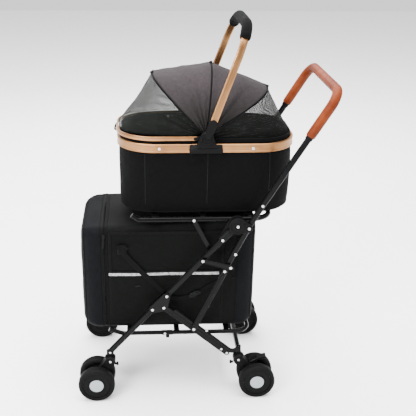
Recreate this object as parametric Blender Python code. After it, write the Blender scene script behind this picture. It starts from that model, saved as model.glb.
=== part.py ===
"""Two-deck folding pet stroller.

A black steel folding frame on four twin-wheel legs carries a soft pet carrier with a
gold rim, a domed canopy and its own carry handle, above a large zipped lower bag.
Frame: +X forwards, +Y to the stroller's left, +Z up, metres, floor at Z = 0.
"""
import math

import bmesh
import bpy
import numpy as np
from mathutils import Vector

# ---------------------------------------------------------------- driving dimensions
GAP = 0.0004                       # running gap between neighbouring solids

# Side-view places of the frame, as (X, Z), in the plane of each side frame
FRAME_Y = 0.200                    # centre plane of the side frames
HINGE = (-0.105, 0.612)            # fold hinge of the push handle
HANDLE_RIVET = (-0.140, 0.605)     # lobe rivet through the push tube
ARM_END = (-0.069, 0.457)          # lower end of the push tube, pivot of the lower brace
LATCH_PIN = (-0.087, 0.471)        # pin that the latch bar hooks
HANDLE_BEND = (-0.180, 0.676)
HANDLE_GRIP_START = (-0.311, 0.894)
HANDLE_TOP = (-0.3907, 1.0256)
LATCH_PIVOT = (0.001, 0.496)
FRONT_LEG_RIVET = (-0.060, 0.563)
BRACKET_TOP = (0.114, 0.370)
BRACKET_LOW = (0.160, 0.322)
REAR_LEG_PIVOT = (0.1233, 0.3285)
BRACE_END = (0.026, 0.248)         # lower brace pivot on the rear leg
REAR_LEG_END = (-0.086, 0.151)
FRONT_STEM = (0.300, 0.1505)       # bottom end of the front leg, on the swivel axis
REAR_STEM = (-0.125, 0.1475)       # bottom end of the rear leg tube

TUBE_WIDE = 0.019                  # leg and handle tube, seen from the side
TUBE_THICK = 0.014                 # and across the stroller
REAR_TUBE_WIDE = 0.0155
REAR_TUBE_THICK = 0.0118
BRACE_THICK = 0.0050
GRIP_R = 0.0150
GRIP_BEND_R = 0.050

# Wheels
WHEEL_R = 0.060
WHEEL_WIDE = 0.032
HUB_R = 0.0455
AXLE_R = 0.0040
WHEEL_FLATS = 28                   # facets around a wheel, one of them flat on the floor
FRONT_AXLE = (0.3457, WHEEL_R)
REAR_AXLE = (-0.1857, WHEEL_R)
INNER_WHEEL_Y = 0.1660
OUTER_WHEEL_Y = 0.2330
HOUSING_WIDE = 0.030

# Carrier racks and lower bag
TOP_RACK_Z = 0.6230
TOP_RACK_R = 0.0085
TOP_RACK_Y = 0.1765
TOP_RACK_FRONT = 0.212
TOP_RACK_REAR = -0.212
LOW_RACK_Z = 0.2185
LOW_RACK_R = 0.0070
LOW_RACK_Y = 0.1780
LOW_RACK_FRONT = 0.302
LOW_RACK_REAR = -0.158
BAG_FRONT = 0.388
BAG_REAR = -0.176
BAG_HALF_WIDTH = 0.166
BAG_BOTTOM = 0.2265
BAG_TOP = 0.6080
BAG_TOP_DROP = 0.0220           # how far the top falls from the rear end to the front end

# Pet carrier
CARRIER_X = -0.0125                # middle of the carrier, fore and aft
RIM_LENGTH = 0.555
RIM_HALF_WIDTH = 0.158
RIM_TOP = 0.8600
RIM_HIGH = 0.0270
RIM_THICK = 0.0085
RIM_CORNER_R = 0.120
BODY_INSET = 0.006                 # carrier walls stand this far inside the rim's edge
BODY_WALL = 0.005
BODY_BOTTOM = 0.6325
PAD_THICK = 0.016
PIVOT = (-0.007, 0.884)            # axis shared by the canopy bows and the carry handle
WIRE_R = 0.0023

# Canopy bows: angle above the front, reach from the pivot, half width, squareness
LID_REACH = 0.272
LID_Y = 0.1552
LID_HIGH = 0.013
LID_THICK = 0.0048
FRONT_BOW = (44.6, 0.225, 0.1490, 2.5)
MID_BOW = (96.5, 0.190, 0.1435, 2.1)
REAR_BOW = (150.0, 0.230, 0.1380, 2.5)
NET_THICK = 0.0016
CANOPY_THICK = 0.0024

# Carry handle
CARRY_ANGLE = 110.0
CARRY_REACH = 0.342
CARRY_ROOT_Y = 0.1795
CARRY_TOP_Y = 0.1640
CARRY_BEND_R = 0.100
CARRY_WIDE = 0.022
CARRY_THICK = 0.0085
CARRY_GRIP_R = 0.0165

SIDES = (("left", 1.0), ("right", -1.0))

# ---------------------------------------------------------------- materials
COLOURS = {
    "black_steel": ((0.012, 0.012, 0.013), 0.35, 0.6),
    "black_plastic": ((0.015, 0.015, 0.016), 0.55, 0.0),
    "tyre_rubber": ((0.013, 0.013, 0.013), 0.75, 0.0),
    "hub_plastic": ((0.020, 0.020, 0.021), 0.50, 0.0),
    "tan_leather": ((0.420, 0.130, 0.045), 0.50, 0.0),
    "gold_aluminium": ((0.610, 0.360, 0.210), 0.35, 0.9),
    "black_fabric": ((0.010, 0.010, 0.011), 0.90, 0.0),
    "grey_fabric": ((0.045, 0.042, 0.045), 0.90, 0.0),
    "net_fabric": ((0.025, 0.025, 0.026), 0.80, 0.0),
    "black_foam": ((0.018, 0.018, 0.018), 0.85, 0.0),
}


def material(slot):
    """One Principled material for each finish, made once."""
    found = bpy.data.materials.get(slot)
    if found:
        return found
    colour, roughness, metallic = COLOURS[slot]
    made = bpy.data.materials.new(slot)
    made.use_nodes = True
    shader = made.node_tree.nodes["Principled BSDF"]
    shader.inputs["Base Color"].default_value = (*colour, 1.0)
    shader.inputs["Roughness"].default_value = roughness
    shader.inputs["Metallic"].default_value = metallic
    return made


# ---------------------------------------------------------------- bodies and placing
AXES = {}                          # world place of each body's empty
EMPTIES = {}


def body(name, place=(0.0, 0.0, 0.0), parent=None):
    """An empty on the joint axis of a moving body."""
    empty = bpy.data.objects.new("body_" + name, None)
    bpy.context.collection.objects.link(empty)
    origin = Vector(place)
    if parent:
        empty.parent = EMPTIES[parent]
        empty.location = origin - AXES[parent]
    else:
        empty.location = origin
    AXES[name] = origin
    EMPTIES[name] = empty


def finish(name, mesh_builder, slot, on_body, sharp_degrees=35.0):
    """Turn a bmesh in world coordinates into a named node that rides on a body."""
    bmesh.ops.recalc_face_normals(mesh_builder, faces=mesh_builder.faces)
    bmesh.ops.translate(mesh_builder, verts=mesh_builder.verts, vec=-AXES[on_body])
    mesh = bpy.data.meshes.new(name)
    mesh_builder.to_mesh(mesh)
    mesh_builder.free()
    mesh.materials.append(material(slot))
    mesh.shade_smooth()
    mesh.set_sharp_from_angle(angle=math.radians(sharp_degrees))
    node = bpy.data.objects.new(name, mesh)
    bpy.context.collection.objects.link(node)
    node.parent = EMPTIES[on_body]
    return node


def boolean(target, tools, operation):
    """Apply exact Booleans of the tool objects to the target and remove the tools."""
    for tool in tools:
        modifier = target.modifiers.new("boolean", "BOOLEAN")
        modifier.operation = operation
        modifier.solver = "EXACT"
        modifier.object = tool
    bpy.context.view_layer.update()
    evaluated = target.evaluated_get(bpy.context.evaluated_depsgraph_get())
    result = bpy.data.meshes.new_from_object(evaluated)
    target.modifiers.clear()
    old = target.data
    target.data = result
    bpy.data.meshes.remove(old)
    for tool in tools:
        bpy.data.objects.remove(tool)
    return target


# ---------------------------------------------------------------- shape helpers
def circle(centre, radius, count=16):
    """Points of a circle in a plane, whose flats touch the given radius."""
    reach = radius / math.cos(math.pi / count)
    turns = [(i + 0.5) * math.tau / count for i in range(count)]
    return [(centre[0] + reach * math.cos(t), centre[1] + reach * math.sin(t)) for t in turns]


def hull_outline(discs, count=16):
    """Outline of the plate that just wraps a set of discs (x, z, radius)."""
    points = sorted({(round(p[0], 7), round(p[1], 7))
                     for x, z, r in discs for p in circle((x, z), r, count)})

    def half(sequence):
        chain = []
        for p in sequence:
            while len(chain) > 1:
                ax, az = chain[-2]
                bx, bz = chain[-1]
                if (bx - ax) * (p[1] - az) - (bz - az) * (p[0] - ax) > 1e-10:
                    break
                chain.pop()
            chain.append(p)
        return chain[:-1]

    return half(points) + half(reversed(points))


def plate(outline, low_y, high_y):
    """A flat plate: an (x, z) outline extruded across the stroller."""
    made = bmesh.new()
    rings = [[made.verts.new((x, y, z)) for x, z in outline] for y in (low_y, high_y)]
    made.faces.new(rings[0])
    made.faces.new(rings[1])
    count = len(outline)
    for i in range(count):
        j = (i + 1) % count
        made.faces.new((rings[0][i], rings[0][j], rings[1][j], rings[1][i]))
    return made


def skin_rings(rings, closed_path=False):
    """Bridge equal rings of points into one closed solid."""
    made = bmesh.new()
    loops = [[made.verts.new(p) for p in ring] for ring in rings]
    count = len(loops[0])
    pairs = list(zip(loops, loops[1:]))
    if closed_path:
        pairs.append((loops[-1], loops[0]))
    for a, b in pairs:
        for i in range(count):
            j = (i + 1) % count
            made.faces.new((a[i], a[j], b[j], b[i]))
    if not closed_path:
        made.faces.new(loops[0])
        made.faces.new(loops[-1])
    return made


def sweep(path, profile, side, closed_path=False):
    """Sweep a profile of (across, side) points along a path.

    side is the profile's second direction at the start, carried along the path.
    """
    points = [Vector(p) for p in path]
    last = len(points) - 1
    up = Vector(side).normalized()
    rings = []
    for i, here in enumerate(points):
        before = points[i - 1] if i else (points[last] if closed_path else here)
        after = points[i + 1] if i < last else (points[0] if closed_path else here)
        ahead = (after - before).normalized()
        up = (up - ahead * up.dot(ahead)).normalized()
        across = ahead.cross(up)
        rings.append([here + across * a + up * b for a, b in profile])
    return skin_rings(rings, closed_path)


def oval(wide, thick, count=12):
    """An oval profile; its first direction is the wide one."""
    return [(p[0] * wide, p[1] * thick) for p in circle((0.0, 0.0), 0.5, count)]


def box_profile(wide, thick):
    return [(-wide / 2, -thick / 2), (wide / 2, -thick / 2),
            (wide / 2, thick / 2), (-wide / 2, thick / 2)]


def rounded_path(corners, radii, steps=5):
    """A path of straight runs with an arc at each inner corner."""
    points = [Vector(c) for c in corners]
    path = [points[0]]
    for i in range(1, len(points) - 1):
        back = (points[i - 1] - points[i]).normalized()
        on = (points[i + 1] - points[i]).normalized()
        bend = math.pi - back.angle(on)
        reach = radii[i - 1] * math.tan(bend / 2)
        middle = (back + on).normalized()
        centre = points[i] + middle * (radii[i - 1] / math.cos(bend / 2))
        start = points[i] + back * reach - centre
        end = points[i] + on * reach - centre
        for step in range(steps + 1):
            part = step / steps
            turn = start.lerp(end, 0.5)
            swing = bend * (part - 0.5)
            spread = (end - start).normalized()
            path.append(centre + turn.normalized() * (radii[i - 1] * math.cos(swing))
                        + spread * (radii[i - 1] * math.sin(swing)))
    path.append(points[-1])
    return path


def rounded_rectangle(length, width, radius, centre_x, steps=5):
    """Plan outline with round corners, as (x, y) points."""
    points = []
    corners = ((1, 1, 0.0), (-1, 1, 90.0), (-1, -1, 180.0), (1, -1, 270.0))
    for sx, sy, start in corners:
        cx = centre_x + sx * (length / 2 - radius)
        cy = sy * (width / 2 - radius)
        for step in range(steps + 1):
            turn = math.radians(start + 90.0 * step / steps)
            points.append((cx + radius * math.cos(turn), cy + radius * math.sin(turn)))
    return points


def turned(profile, centre, steps=WHEEL_FLATS):
    """Revolve a closed (y, r) profile about the wheel axis through centre.

    Points with r = 0 close on the axis.
    """
    made = bmesh.new()
    cx, cy, cz = centre
    rings = []
    for y, r in profile:
        if r == 0.0:
            rings.append([made.verts.new((cx, cy + y, cz))])
            continue
        ring = []
        for i in range(steps):
            turn = (i + 0.5) * math.tau / steps
            ring.append(made.verts.new((cx + r * math.sin(turn), cy + y, cz - r * math.cos(turn))))
        rings.append(ring)
    solid = profile[0][1] == 0.0
    pairs = list(zip(rings, rings[1:]))
    if not solid:
        pairs.append((rings[-1], rings[0]))
    for a, b in pairs:
        for i in range(steps):
            j = (i + 1) % steps
            if len(a) == 1:
                made.faces.new((a[0], b[i], b[j]))
            elif len(b) == 1:
                made.faces.new((a[i], a[j], b[0]))
            else:
                made.faces.new((a[i], a[j], b[j], b[i]))
    return made


def rod(start, end, radius, count=12):
    """A plain round bar between two points."""
    along = Vector(end) - Vector(start)
    side = Vector((0, 0, 1)) if abs(along.normalized().z) < 0.9 else Vector((1, 0, 0))
    return sweep([start, end], oval(2 * radius, 2 * radius, count), side)


def at_y(place, y):
    return Vector((place[0], y, place[1]))


# ---------------------------------------------------------------- bodies
def make_bodies():
    body("chassis")
    body("push_handle", (HINGE[0], 0.0, HINGE[1]), "chassis")
    body("rear_legs", (REAR_LEG_PIVOT[0], 0.0, REAR_LEG_PIVOT[1]), "chassis")
    body("carrier", (PIVOT[0], 0.0, BODY_BOTTOM), "chassis")
    body("carry_handle", (PIVOT[0], 0.0, PIVOT[1]), "carrier")
    body("mid_bow", (PIVOT[0], 0.0, PIVOT[1]), "carrier")
    body("front_bow", (PIVOT[0], 0.0, PIVOT[1]), "mid_bow")
    body("lid_bow", (PIVOT[0], 0.0, PIVOT[1]), "front_bow")
    for side, s in SIDES:
        body("lower_brace_" + side, (ARM_END[0], s * FRAME_Y, ARM_END[1]), "push_handle")
        body("latch_bar_" + side, (LATCH_PIVOT[0], s * FRAME_Y, LATCH_PIVOT[1]), "chassis")
        body("front_caster_" + side, (FRONT_STEM[0], s * FRAME_Y, FRONT_STEM[1]), "chassis")
        body("brake_pedal_" + side, pedal_pivot(s), "rear_legs")
        for end, axle, parent in (("front", FRONT_AXLE, "front_caster_" + side),
                                  ("rear", REAR_AXLE, "rear_legs")):
            for place, y in (("outer", OUTER_WHEEL_Y), ("inner", INNER_WHEEL_Y)):
                body(f"{end}_{side}_{place}_wheel", (axle[0], s * y, axle[1]), parent)


def pedal_pivot(s):
    """Pivot of a brake pedal, on top of the rear wheel mount."""
    return (REAR_AXLE[0] + 0.017, s * FRAME_Y, REAR_AXLE[1] + 0.056)


# ---------------------------------------------------------------- chassis
def front_leg(side, s):
    """Oval tube from the fold hinge, bent upright above the swivel caster."""
    slope = (Vector(BRACKET_TOP) - Vector(HINGE)).normalized()
    start = Vector(HINGE) + slope * 0.0225
    bend_x = FRONT_STEM[0]
    bend_z = HINGE[1] + slope.y / slope.x * (bend_x - HINGE[0])
    y = s * FRAME_Y
    path = rounded_path([(start.x, y, start.y), (bend_x, y, bend_z), (bend_x, y, FRONT_STEM[1])],
                        [0.030])
    finish("front_leg_" + side, sweep(path, oval(TUBE_WIDE, TUBE_THICK), (0, 1, 0)),
           "black_steel", "chassis")


def hinge_plate(side, s):
    """Inner half of the fold hinge, riveted to the top of the front leg."""
    outline = hull_outline([(*HINGE, 0.026), (*FRONT_LEG_RIVET, 0.011)])
    low, high = 0.1855, FRAME_Y - TUBE_THICK / 2 - GAP
    finish("hinge_plate_" + side, plate(outline, s * low, s * high), "black_plastic", "chassis")


def leg_bracket(side, s):
    """Bent steel bracket that wraps the front leg and holds the rear leg's pivot."""
    ear = hull_outline([(*BRACKET_TOP, 0.011), (*BRACKET_LOW, 0.011), (*REAR_LEG_PIVOT, 0.012)])
    cheek = 0.003
    inside = TUBE_THICK / 2 + GAP
    node = finish("leg_bracket_" + side,
                  plate(ear, s * (FRAME_Y + inside), s * (FRAME_Y + inside + cheek)),
                  "black_steel", "chassis")
    inner = finish("inner_cheek", plate(ear, s * (FRAME_Y - inside), s * (FRAME_Y - inside - cheek)),
                   "black_steel", "chassis")
    along = (Vector(BRACKET_LOW) - Vector(BRACKET_TOP)).normalized()
    out = Vector((-along.y, along.x))
    spine_at = TUBE_WIDE / 2 + GAP + cheek / 2
    ends = [Vector(BRACKET_TOP) - along * 0.002 + out * spine_at,
            Vector(BRACKET_LOW) + along * 0.002 + out * spine_at]
    profile = box_profile(cheek, 2 * (inside + cheek) - 0.0002)
    spine = finish("spine", sweep([at_y(e, s * FRAME_Y) for e in ends], profile, (0, 1, 0)),
                   "black_steel", "chassis")
    boolean(node, [inner, spine], "UNION")


def top_rack():
    """Carrier rack: a tube loop, open and turned up at the front, with cross bars and struts."""
    tip = 0.016
    corners = []
    for s in (1.0, -1.0):
        run = [(TOP_RACK_FRONT + 0.010, s * TOP_RACK_Y, TOP_RACK_Z + tip),
               (TOP_RACK_FRONT - 0.010, s * TOP_RACK_Y, TOP_RACK_Z),
               (TOP_RACK_REAR, s * TOP_RACK_Y, TOP_RACK_Z)]
        corners += run if s > 0 else run[::-1]
    path = rounded_path(corners, [0.020, 0.060, 0.060, 0.020], 4)
    profile = oval(2 * TOP_RACK_R, 2 * TOP_RACK_R, 10)
    node = finish("top_rack", sweep(path, profile, (0, 1, 0)), "black_steel", "chassis")
    parts = []
    for x in (0.150, 0.0, -0.150):
        bar = sweep([(x, -TOP_RACK_Y, TOP_RACK_Z + 0.0045), (x, TOP_RACK_Y, TOP_RACK_Z + 0.0045)],
                    box_profile(0.020, 0.007), (0, 0, 1))
        parts.append(finish("cross_bar", bar, "black_steel", "chassis"))
    strut_low = (-0.020, 0.528)
    for _, s in SIDES:
        strut = plate(hull_outline([(0.029, TOP_RACK_Z, 0.007), (*strut_low, 0.007)], 12),
                      s * (TOP_RACK_Y + 0.0070), s * (TOP_RACK_Y + 0.0115))
        parts.append(finish("strut", strut, "black_steel", "chassis"))
    boolean(node, parts, "UNION")


def lower_rack():
    """Bag rack: a tube loop, open and raised at the front, with cross bars and leg spacers."""
    lift = 0.016
    front = [(LOW_RACK_FRONT, LOW_RACK_Y, LOW_RACK_Z + lift),
             (LOW_RACK_FRONT - 0.045, LOW_RACK_Y, LOW_RACK_Z),
             (LOW_RACK_REAR, LOW_RACK_Y, LOW_RACK_Z)]
    corners = front + [(x, -y, z) for x, y, z in front[::-1]]
    path = rounded_path(corners, [0.030, 0.045, 0.045, 0.030], 4)
    profile = oval(2 * LOW_RACK_R, 2 * LOW_RACK_R, 10)
    node = finish("lower_rack", sweep(path, profile, (0, 1, 0)), "black_steel", "chassis")
    parts = []
    for x in (0.235, 0.080, -0.085):
        bar = sweep([(x, -LOW_RACK_Y, LOW_RACK_Z + 0.0035), (x, LOW_RACK_Y, LOW_RACK_Z + 0.0035)],
                    box_profile(0.018, 0.006), (0, 0, 1))
        parts.append(finish("cross_bar", bar, "black_steel", "chassis"))
    for _, s in SIDES:
        spacer = rod((0.2555, s * LOW_RACK_Y, LOW_RACK_Z), (0.2555, s * 0.1926, LOW_RACK_Z), 0.005)
        parts.append(finish("spacer", spacer, "black_steel", "chassis"))
    boolean(node, parts, "UNION")


def lower_bag():
    """Soft luggage body: a rounded box whose walls swell at mid height."""
    rings = []
    length = BAG_FRONT - BAG_REAR
    middle = (BAG_FRONT + BAG_REAR) / 2
    height = BAG_TOP - BAG_BOTTOM
    levels = ((0.0, 0.050, 0.030), (0.02, 0.020, 0.050), (0.08, 0.006, 0.060), (0.3, 0.0, 0.065),
              (0.7, 0.0, 0.065), (0.92, 0.010, 0.060), (0.98, 0.026, 0.050), (1.0, 0.060, 0.030))
    for part, inset, radius in levels:
        outline = rounded_rectangle(length - 2 * inset, 2 * (BAG_HALF_WIDTH - inset), radius, middle)
        rings.append([(x, y, BAG_BOTTOM + part * (height - BAG_TOP_DROP * (x - BAG_REAR) / length))
                      for x, y in outline])
    finish("lower_bag", skin_rings(rings), "black_fabric", "chassis")


# ---------------------------------------------------------------- push handle
def push_tube():
    """One tube on each side: from the lower brace pivot, past the hinge, up into the grip."""
    for side, s in SIDES:
        y = s * FRAME_Y
        grip_way = (Vector(HANDLE_TOP) - Vector(HANDLE_GRIP_START)).normalized()
        end = Vector(HANDLE_GRIP_START) - grip_way * 0.001
        path = rounded_path([at_y(ARM_END, y), at_y(HANDLE_RIVET, y), at_y(HANDLE_BEND, y),
                             at_y(end, y)], [0.200, 0.300], 3)
        finish("push_tube_" + side, sweep(path, oval(TUBE_WIDE, TUBE_THICK), (0, 1, 0)),
               "black_steel", "push_handle")


def push_grip():
    """Leather-covered top bow of the push handle."""
    y = FRAME_Y
    top = at_y(HANDLE_TOP, 0.0)
    corners = [at_y(HANDLE_GRIP_START, y), (top.x, y, top.z), (top.x, -y, top.z),
               at_y(HANDLE_GRIP_START, -y)]
    path = rounded_path(corners, [GRIP_BEND_R, GRIP_BEND_R], 7)
    finish("push_grip", sweep(path, oval(2 * GRIP_R, 2 * GRIP_R), (0, 1, 0)),
           "tan_leather", "push_handle")


def hinge_cover(side, s):
    """Outer half of the fold hinge: a round boss with a lobe riveted to the push tube."""
    face = FRAME_Y + TUBE_THICK / 2 + GAP
    lobe = hull_outline([(*HINGE, 0.027), (*HANDLE_RIVET, 0.012)])
    node = finish("hinge_cover_" + side, plate(lobe, s * face, s * (face + 0.009)),
                  "black_plastic", "push_handle")
    boss = finish("boss", plate(circle(HINGE, 0.0215), s * (FRAME_Y - TUBE_THICK / 2), s * (face + 0.001)),
                  "black_plastic", "push_handle")
    boolean(node, [boss], "UNION")


def lower_brace(side, s):
    """Flat bar from the foot of the push tube to the rear leg."""
    low = FRAME_Y + TUBE_THICK / 2 + GAP
    outline = hull_outline([(*ARM_END, 0.009), (*BRACE_END, 0.009)])
    finish("lower_brace_" + side, plate(outline, s * low, s * (low + BRACE_THICK)),
           "black_steel", "lower_brace_" + side)


def latch_bar(side, s):
    """Wedge-shaped latch plate, on a boss that keeps it outside the lower brace."""
    face = FRAME_Y + TUBE_THICK / 2 + GAP
    low = face + BRACE_THICK + GAP
    outline = hull_outline([(*LATCH_PIVOT, 0.007), (*LATCH_PIN, 0.0095)])
    node = finish("latch_bar_" + side, plate(outline, s * low, s * (low + 0.003)),
                  "black_steel", "latch_bar_" + side)
    boss = plate(circle(LATCH_PIVOT, 0.0055), s * face, s * (low + 0.001))
    boolean(node, [finish("boss", boss, "black_steel", "latch_bar_" + side)], "UNION")


# ---------------------------------------------------------------- rear legs
def rear_leg(side, s):
    """Pivoting leg: a flat channel with a tube along its top, bent down into the wheel mount."""
    along = (Vector(REAR_LEG_END) - Vector(REAR_LEG_PIVOT)).normalized()
    over = Vector((along.y, -along.x))
    y = s * FRAME_Y
    half = TUBE_THICK / 2
    channel = hull_outline([(*REAR_LEG_PIVOT, 0.0095), (*REAR_LEG_END, 0.0085)])
    node = finish("rear_leg_" + side, plate(channel, y - half, y + half), "black_steel", "rear_legs")
    start = Vector(REAR_LEG_PIVOT) + along * 0.034 + over * 0.0115
    on = start + along
    slope = (on.y - start.y) / (on.x - start.x)
    corner_z = start.y + slope * (REAR_STEM[0] - start.x)
    path = rounded_path([at_y(start, y), (REAR_STEM[0], y, corner_z), at_y(REAR_STEM, y)], [0.020])
    tube = finish("tube", sweep(path, oval(REAR_TUBE_WIDE, REAR_TUBE_THICK), (0, 1, 0)),
                  "black_steel", "rear_legs")
    boolean(node, [tube], "UNION")


def rear_crossbar():
    """Tube that joins the two rear wheel mounts."""
    inner = FRAME_Y - HOUSING_WIDE / 2 - GAP
    finish("rear_crossbar", rod((-0.134, -inner, 0.119), (-0.134, inner, 0.119), 0.008),
           "black_steel", "rear_legs")


def wheel_mount(name, stem, axle, on_body, s):
    """Moulded housing between a leg's twin wheels, with its axle through both sides."""
    y = s * FRAME_Y
    half = HOUSING_WIDE / 2
    discs = [(stem[0], stem[1] - 0.0185, 0.0170), (*axle, 0.0150)]
    node = finish(name, plate(hull_outline(discs), y - half, y + half), "black_plastic", on_body)
    reach = OUTER_WHEEL_Y - FRAME_Y + 0.008
    axle_rod = rod((axle[0], y - reach, axle[1]), (axle[0], y + reach, axle[1]), AXLE_R, 10)
    boolean(node, [finish("axle", axle_rod, "black_plastic", on_body)], "UNION")


def brake_pedal(side, s):
    """Foot pedal between the rear wheels."""
    x, y, z = pedal_pivot(s)
    outline = hull_outline([(x, z, 0.0055), (x - 0.022, z + 0.013, 0.0045), (x - 0.046, z + 0.019, 0.0030)])
    finish("brake_pedal_" + side, plate(outline, y - 0.013, y + 0.013), "black_plastic",
           "brake_pedal_" + side)


# ---------------------------------------------------------------- wheels
def wheel(name, centre, outward):
    """Rubber tyre on a moulded hub whose blind bore takes the axle from inside."""
    half = WHEEL_WIDE / 2
    flat = 1.0 / math.cos(math.pi / WHEEL_FLATS)
    rim = HUB_R + 0.0002
    tyre = [(-half + 0.001, rim), (-half, rim + 0.006), (-half + 0.003, 0.0555), (-half + 0.009, WHEEL_R * flat),
            (half - 0.009, WHEEL_R * flat), (half - 0.003, 0.0555), (half, rim + 0.006), (half - 0.001, rim)]
    finish(name + "_tyre", turned(tyre, centre), "tyre_rubber", name + "_wheel")
    edge = HUB_R - 0.0002
    bore = AXLE_R + 0.0005
    hub = [(half - 0.002, 0.0), (half - 0.002, 0.0245), (half - 0.006, 0.027), (half - 0.006, 0.040),
           (half - 0.002, edge), (-half + 0.002, edge), (-half + 0.002, 0.040), (-half + 0.008, 0.036),
           (-half + 0.008, 0.014), (-half + 0.0015, 0.012), (-half + 0.0015, bore), (half - 0.006, bore),
           (half - 0.006, 0.0)]
    hub = [(outward * y, r) for y, r in hub]
    finish(name + "_hub", turned(hub, centre), "hub_plastic", name + "_wheel")


def wheels():
    for side, s in SIDES:
        for end, axle in (("front", FRONT_AXLE), ("rear", REAR_AXLE)):
            for place, y, outward in (("outer", OUTER_WHEEL_Y, 1.0), ("inner", INNER_WHEEL_Y, -1.0)):
                wheel(f"{end}_{side}_{place}", (axle[0], s * y, axle[1]), s * outward)


# ---------------------------------------------------------------- pet carrier
def ring_wall(outer, inner, low, high):
    """A closed band between two plan outlines."""
    rings = []
    for (ox, oy), (ix, iy) in zip(outer, inner):
        rings.append([(ox, oy, low), (ox, oy, high), (ix, iy, high), (ix, iy, low)])
    return skin_rings(rings, closed_path=True)


def plan(inset, steps=6):
    """Plan outline of the carrier, inset from the rim's outer edge."""
    return rounded_rectangle(RIM_LENGTH - 2 * inset, 2 * (RIM_HALF_WIDTH - inset),
                             RIM_CORNER_R - inset, CARRIER_X, steps)


def carrier_rim():
    """Gold aluminium band around the carrier's mouth."""
    band = ring_wall(plan(0.0), plan(RIM_THICK), RIM_TOP - RIM_HIGH, RIM_TOP)
    finish("carrier_rim", band, "gold_aluminium", "carrier")


def carrier_body():
    """Fabric tub: thin walls, flat floor, open top."""
    top = RIM_TOP - RIM_HIGH - GAP
    outer = [(0.030, BODY_BOTTOM), (0.010, BODY_BOTTOM + 0.008), (0.0, BODY_BOTTOM + 0.032), (0.0, top)]
    inner = [(0.0, top), (0.0, BODY_BOTTOM + 0.032), (0.010, BODY_BOTTOM + 0.012), (0.028, BODY_BOTTOM + 0.005)]
    rings = [[(x, y, z) for x, y in plan(BODY_INSET + inset, 4)] for inset, z in outer]
    rings += [[(x, y, z) for x, y in plan(BODY_INSET + BODY_WALL + inset, 4)] for inset, z in inner]
    finish("carrier_body", skin_rings(rings), "black_fabric", "carrier", 60.0)


def carrier_pad():
    """Floor cushion of the cabin."""
    low = BODY_BOTTOM + 0.005 + GAP
    rings = []
    for inset, up in ((0.0355, 0.0), (0.0310, 0.006), (0.0260, PAD_THICK - 0.003), (0.0330, PAD_THICK)):
        rings.append([(x, y, low + up) for x, y in plan(BODY_INSET + BODY_WALL + inset, 4)])
    finish("carrier_pad", skin_rings(rings), "grey_fabric", "carrier")


def pivot_block(side, s):
    """Black block on the rim that holds the bows' pin and the carry handle."""
    inner = RIM_HALF_WIDTH + GAP
    outline = hull_outline([(*PIVOT, 0.0185), (-0.052, RIM_TOP - 0.022, 0.0055), (0.040, RIM_TOP - 0.022, 0.0055),
                            (-0.050, RIM_TOP - 0.004, 0.0055), (0.038, RIM_TOP - 0.004, 0.0055)], 16)
    finish("pivot_block_" + side, plate(outline, s * inner, s * (inner + 0.0150)), "black_plastic", "carrier")


def bow_shape(reach, half_width, square, part):
    """Distance out from the pivot and y of a bow; part runs from 0, left, to 1, right."""
    turn = math.pi * part
    power = 2.0 / square
    y = half_width * math.copysign(abs(math.cos(turn)) ** power, math.cos(turn))
    return reach * abs(math.sin(turn)) ** power, y


def swung(angle, out, y):
    """A point at a distance out from the pivot, at an angle above the front."""
    tilt = math.radians(angle)
    return Vector((PIVOT[0] + out * math.cos(tilt), y, PIVOT[1] + out * math.sin(tilt)))


def bow_wire(name, bow, on_body):
    """Round spring-steel canopy bow."""
    path = [swung(bow[0], *bow_shape(*bow[1:], part)) for part in np.linspace(0.0, 1.0, 25)]
    finish(name, sweep(path, oval(2 * WIRE_R, 2 * WIRE_R, 8), (0, 1, 0)), "black_steel", on_body)


def lid_path(steps=8):
    """Centre line of the lid bow: straight arms and the rim's round front corners."""
    front = PIVOT[0] + LID_REACH
    corner = RIM_CORNER_R
    run = [(PIVOT[0] - 0.006, LID_Y, PIVOT[1] - 0.007), (front, LID_Y, PIVOT[1] - 0.007),
           (front, -LID_Y, PIVOT[1] - 0.007), (PIVOT[0] - 0.006, -LID_Y, PIVOT[1] - 0.007)]
    return rounded_path(run, [corner, corner], steps)


def lid_bow():
    """Gold front bow of the canopy's opening net."""
    finish("lid_bow", sweep(lid_path(), box_profile(LID_THICK, LID_HIGH), (0, 0, 1)),
           "gold_aluminium", "lid_bow")


def gore(name, start, end, thick, slot, on_body, clear=(0.0034, 0.0034), steps=4):
    """Canopy panel stretched between two bows, each (angle, reach, half width, squareness).

    clear is the space left to the bow at each edge, since the panel's hem wraps the wire.
    """
    rings = []
    parts = np.linspace(0.055, 0.945, 21)
    for row in range(steps + 1):
        mix = row / steps
        reach, width, square = (start[i] * (1 - mix) + end[i] * mix for i in (1, 2, 3))
        half_turn = math.radians(abs(end[0] - start[0])) / 2
        sag = math.cos(half_turn) / math.cos(half_turn * (2 * mix - 1))
        outer = []
        inner = []
        for part in parts:
            out, y = bow_shape(reach * sag, width, square, part)
            first = start[0] + math.degrees(clear[0] / out)
            last = end[0] - math.degrees(clear[1] / out)
            angle = first * (1 - mix) + last * mix
            outer.append(swung(angle, out, y))
            out_in, y_in = bow_shape(reach * sag - thick, width - thick, square, part)
            inner.append(swung(angle, out_in, y_in))
        rings.append(outer + inner[::-1])
    finish(name, skin_rings(rings), slot, on_body)


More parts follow.
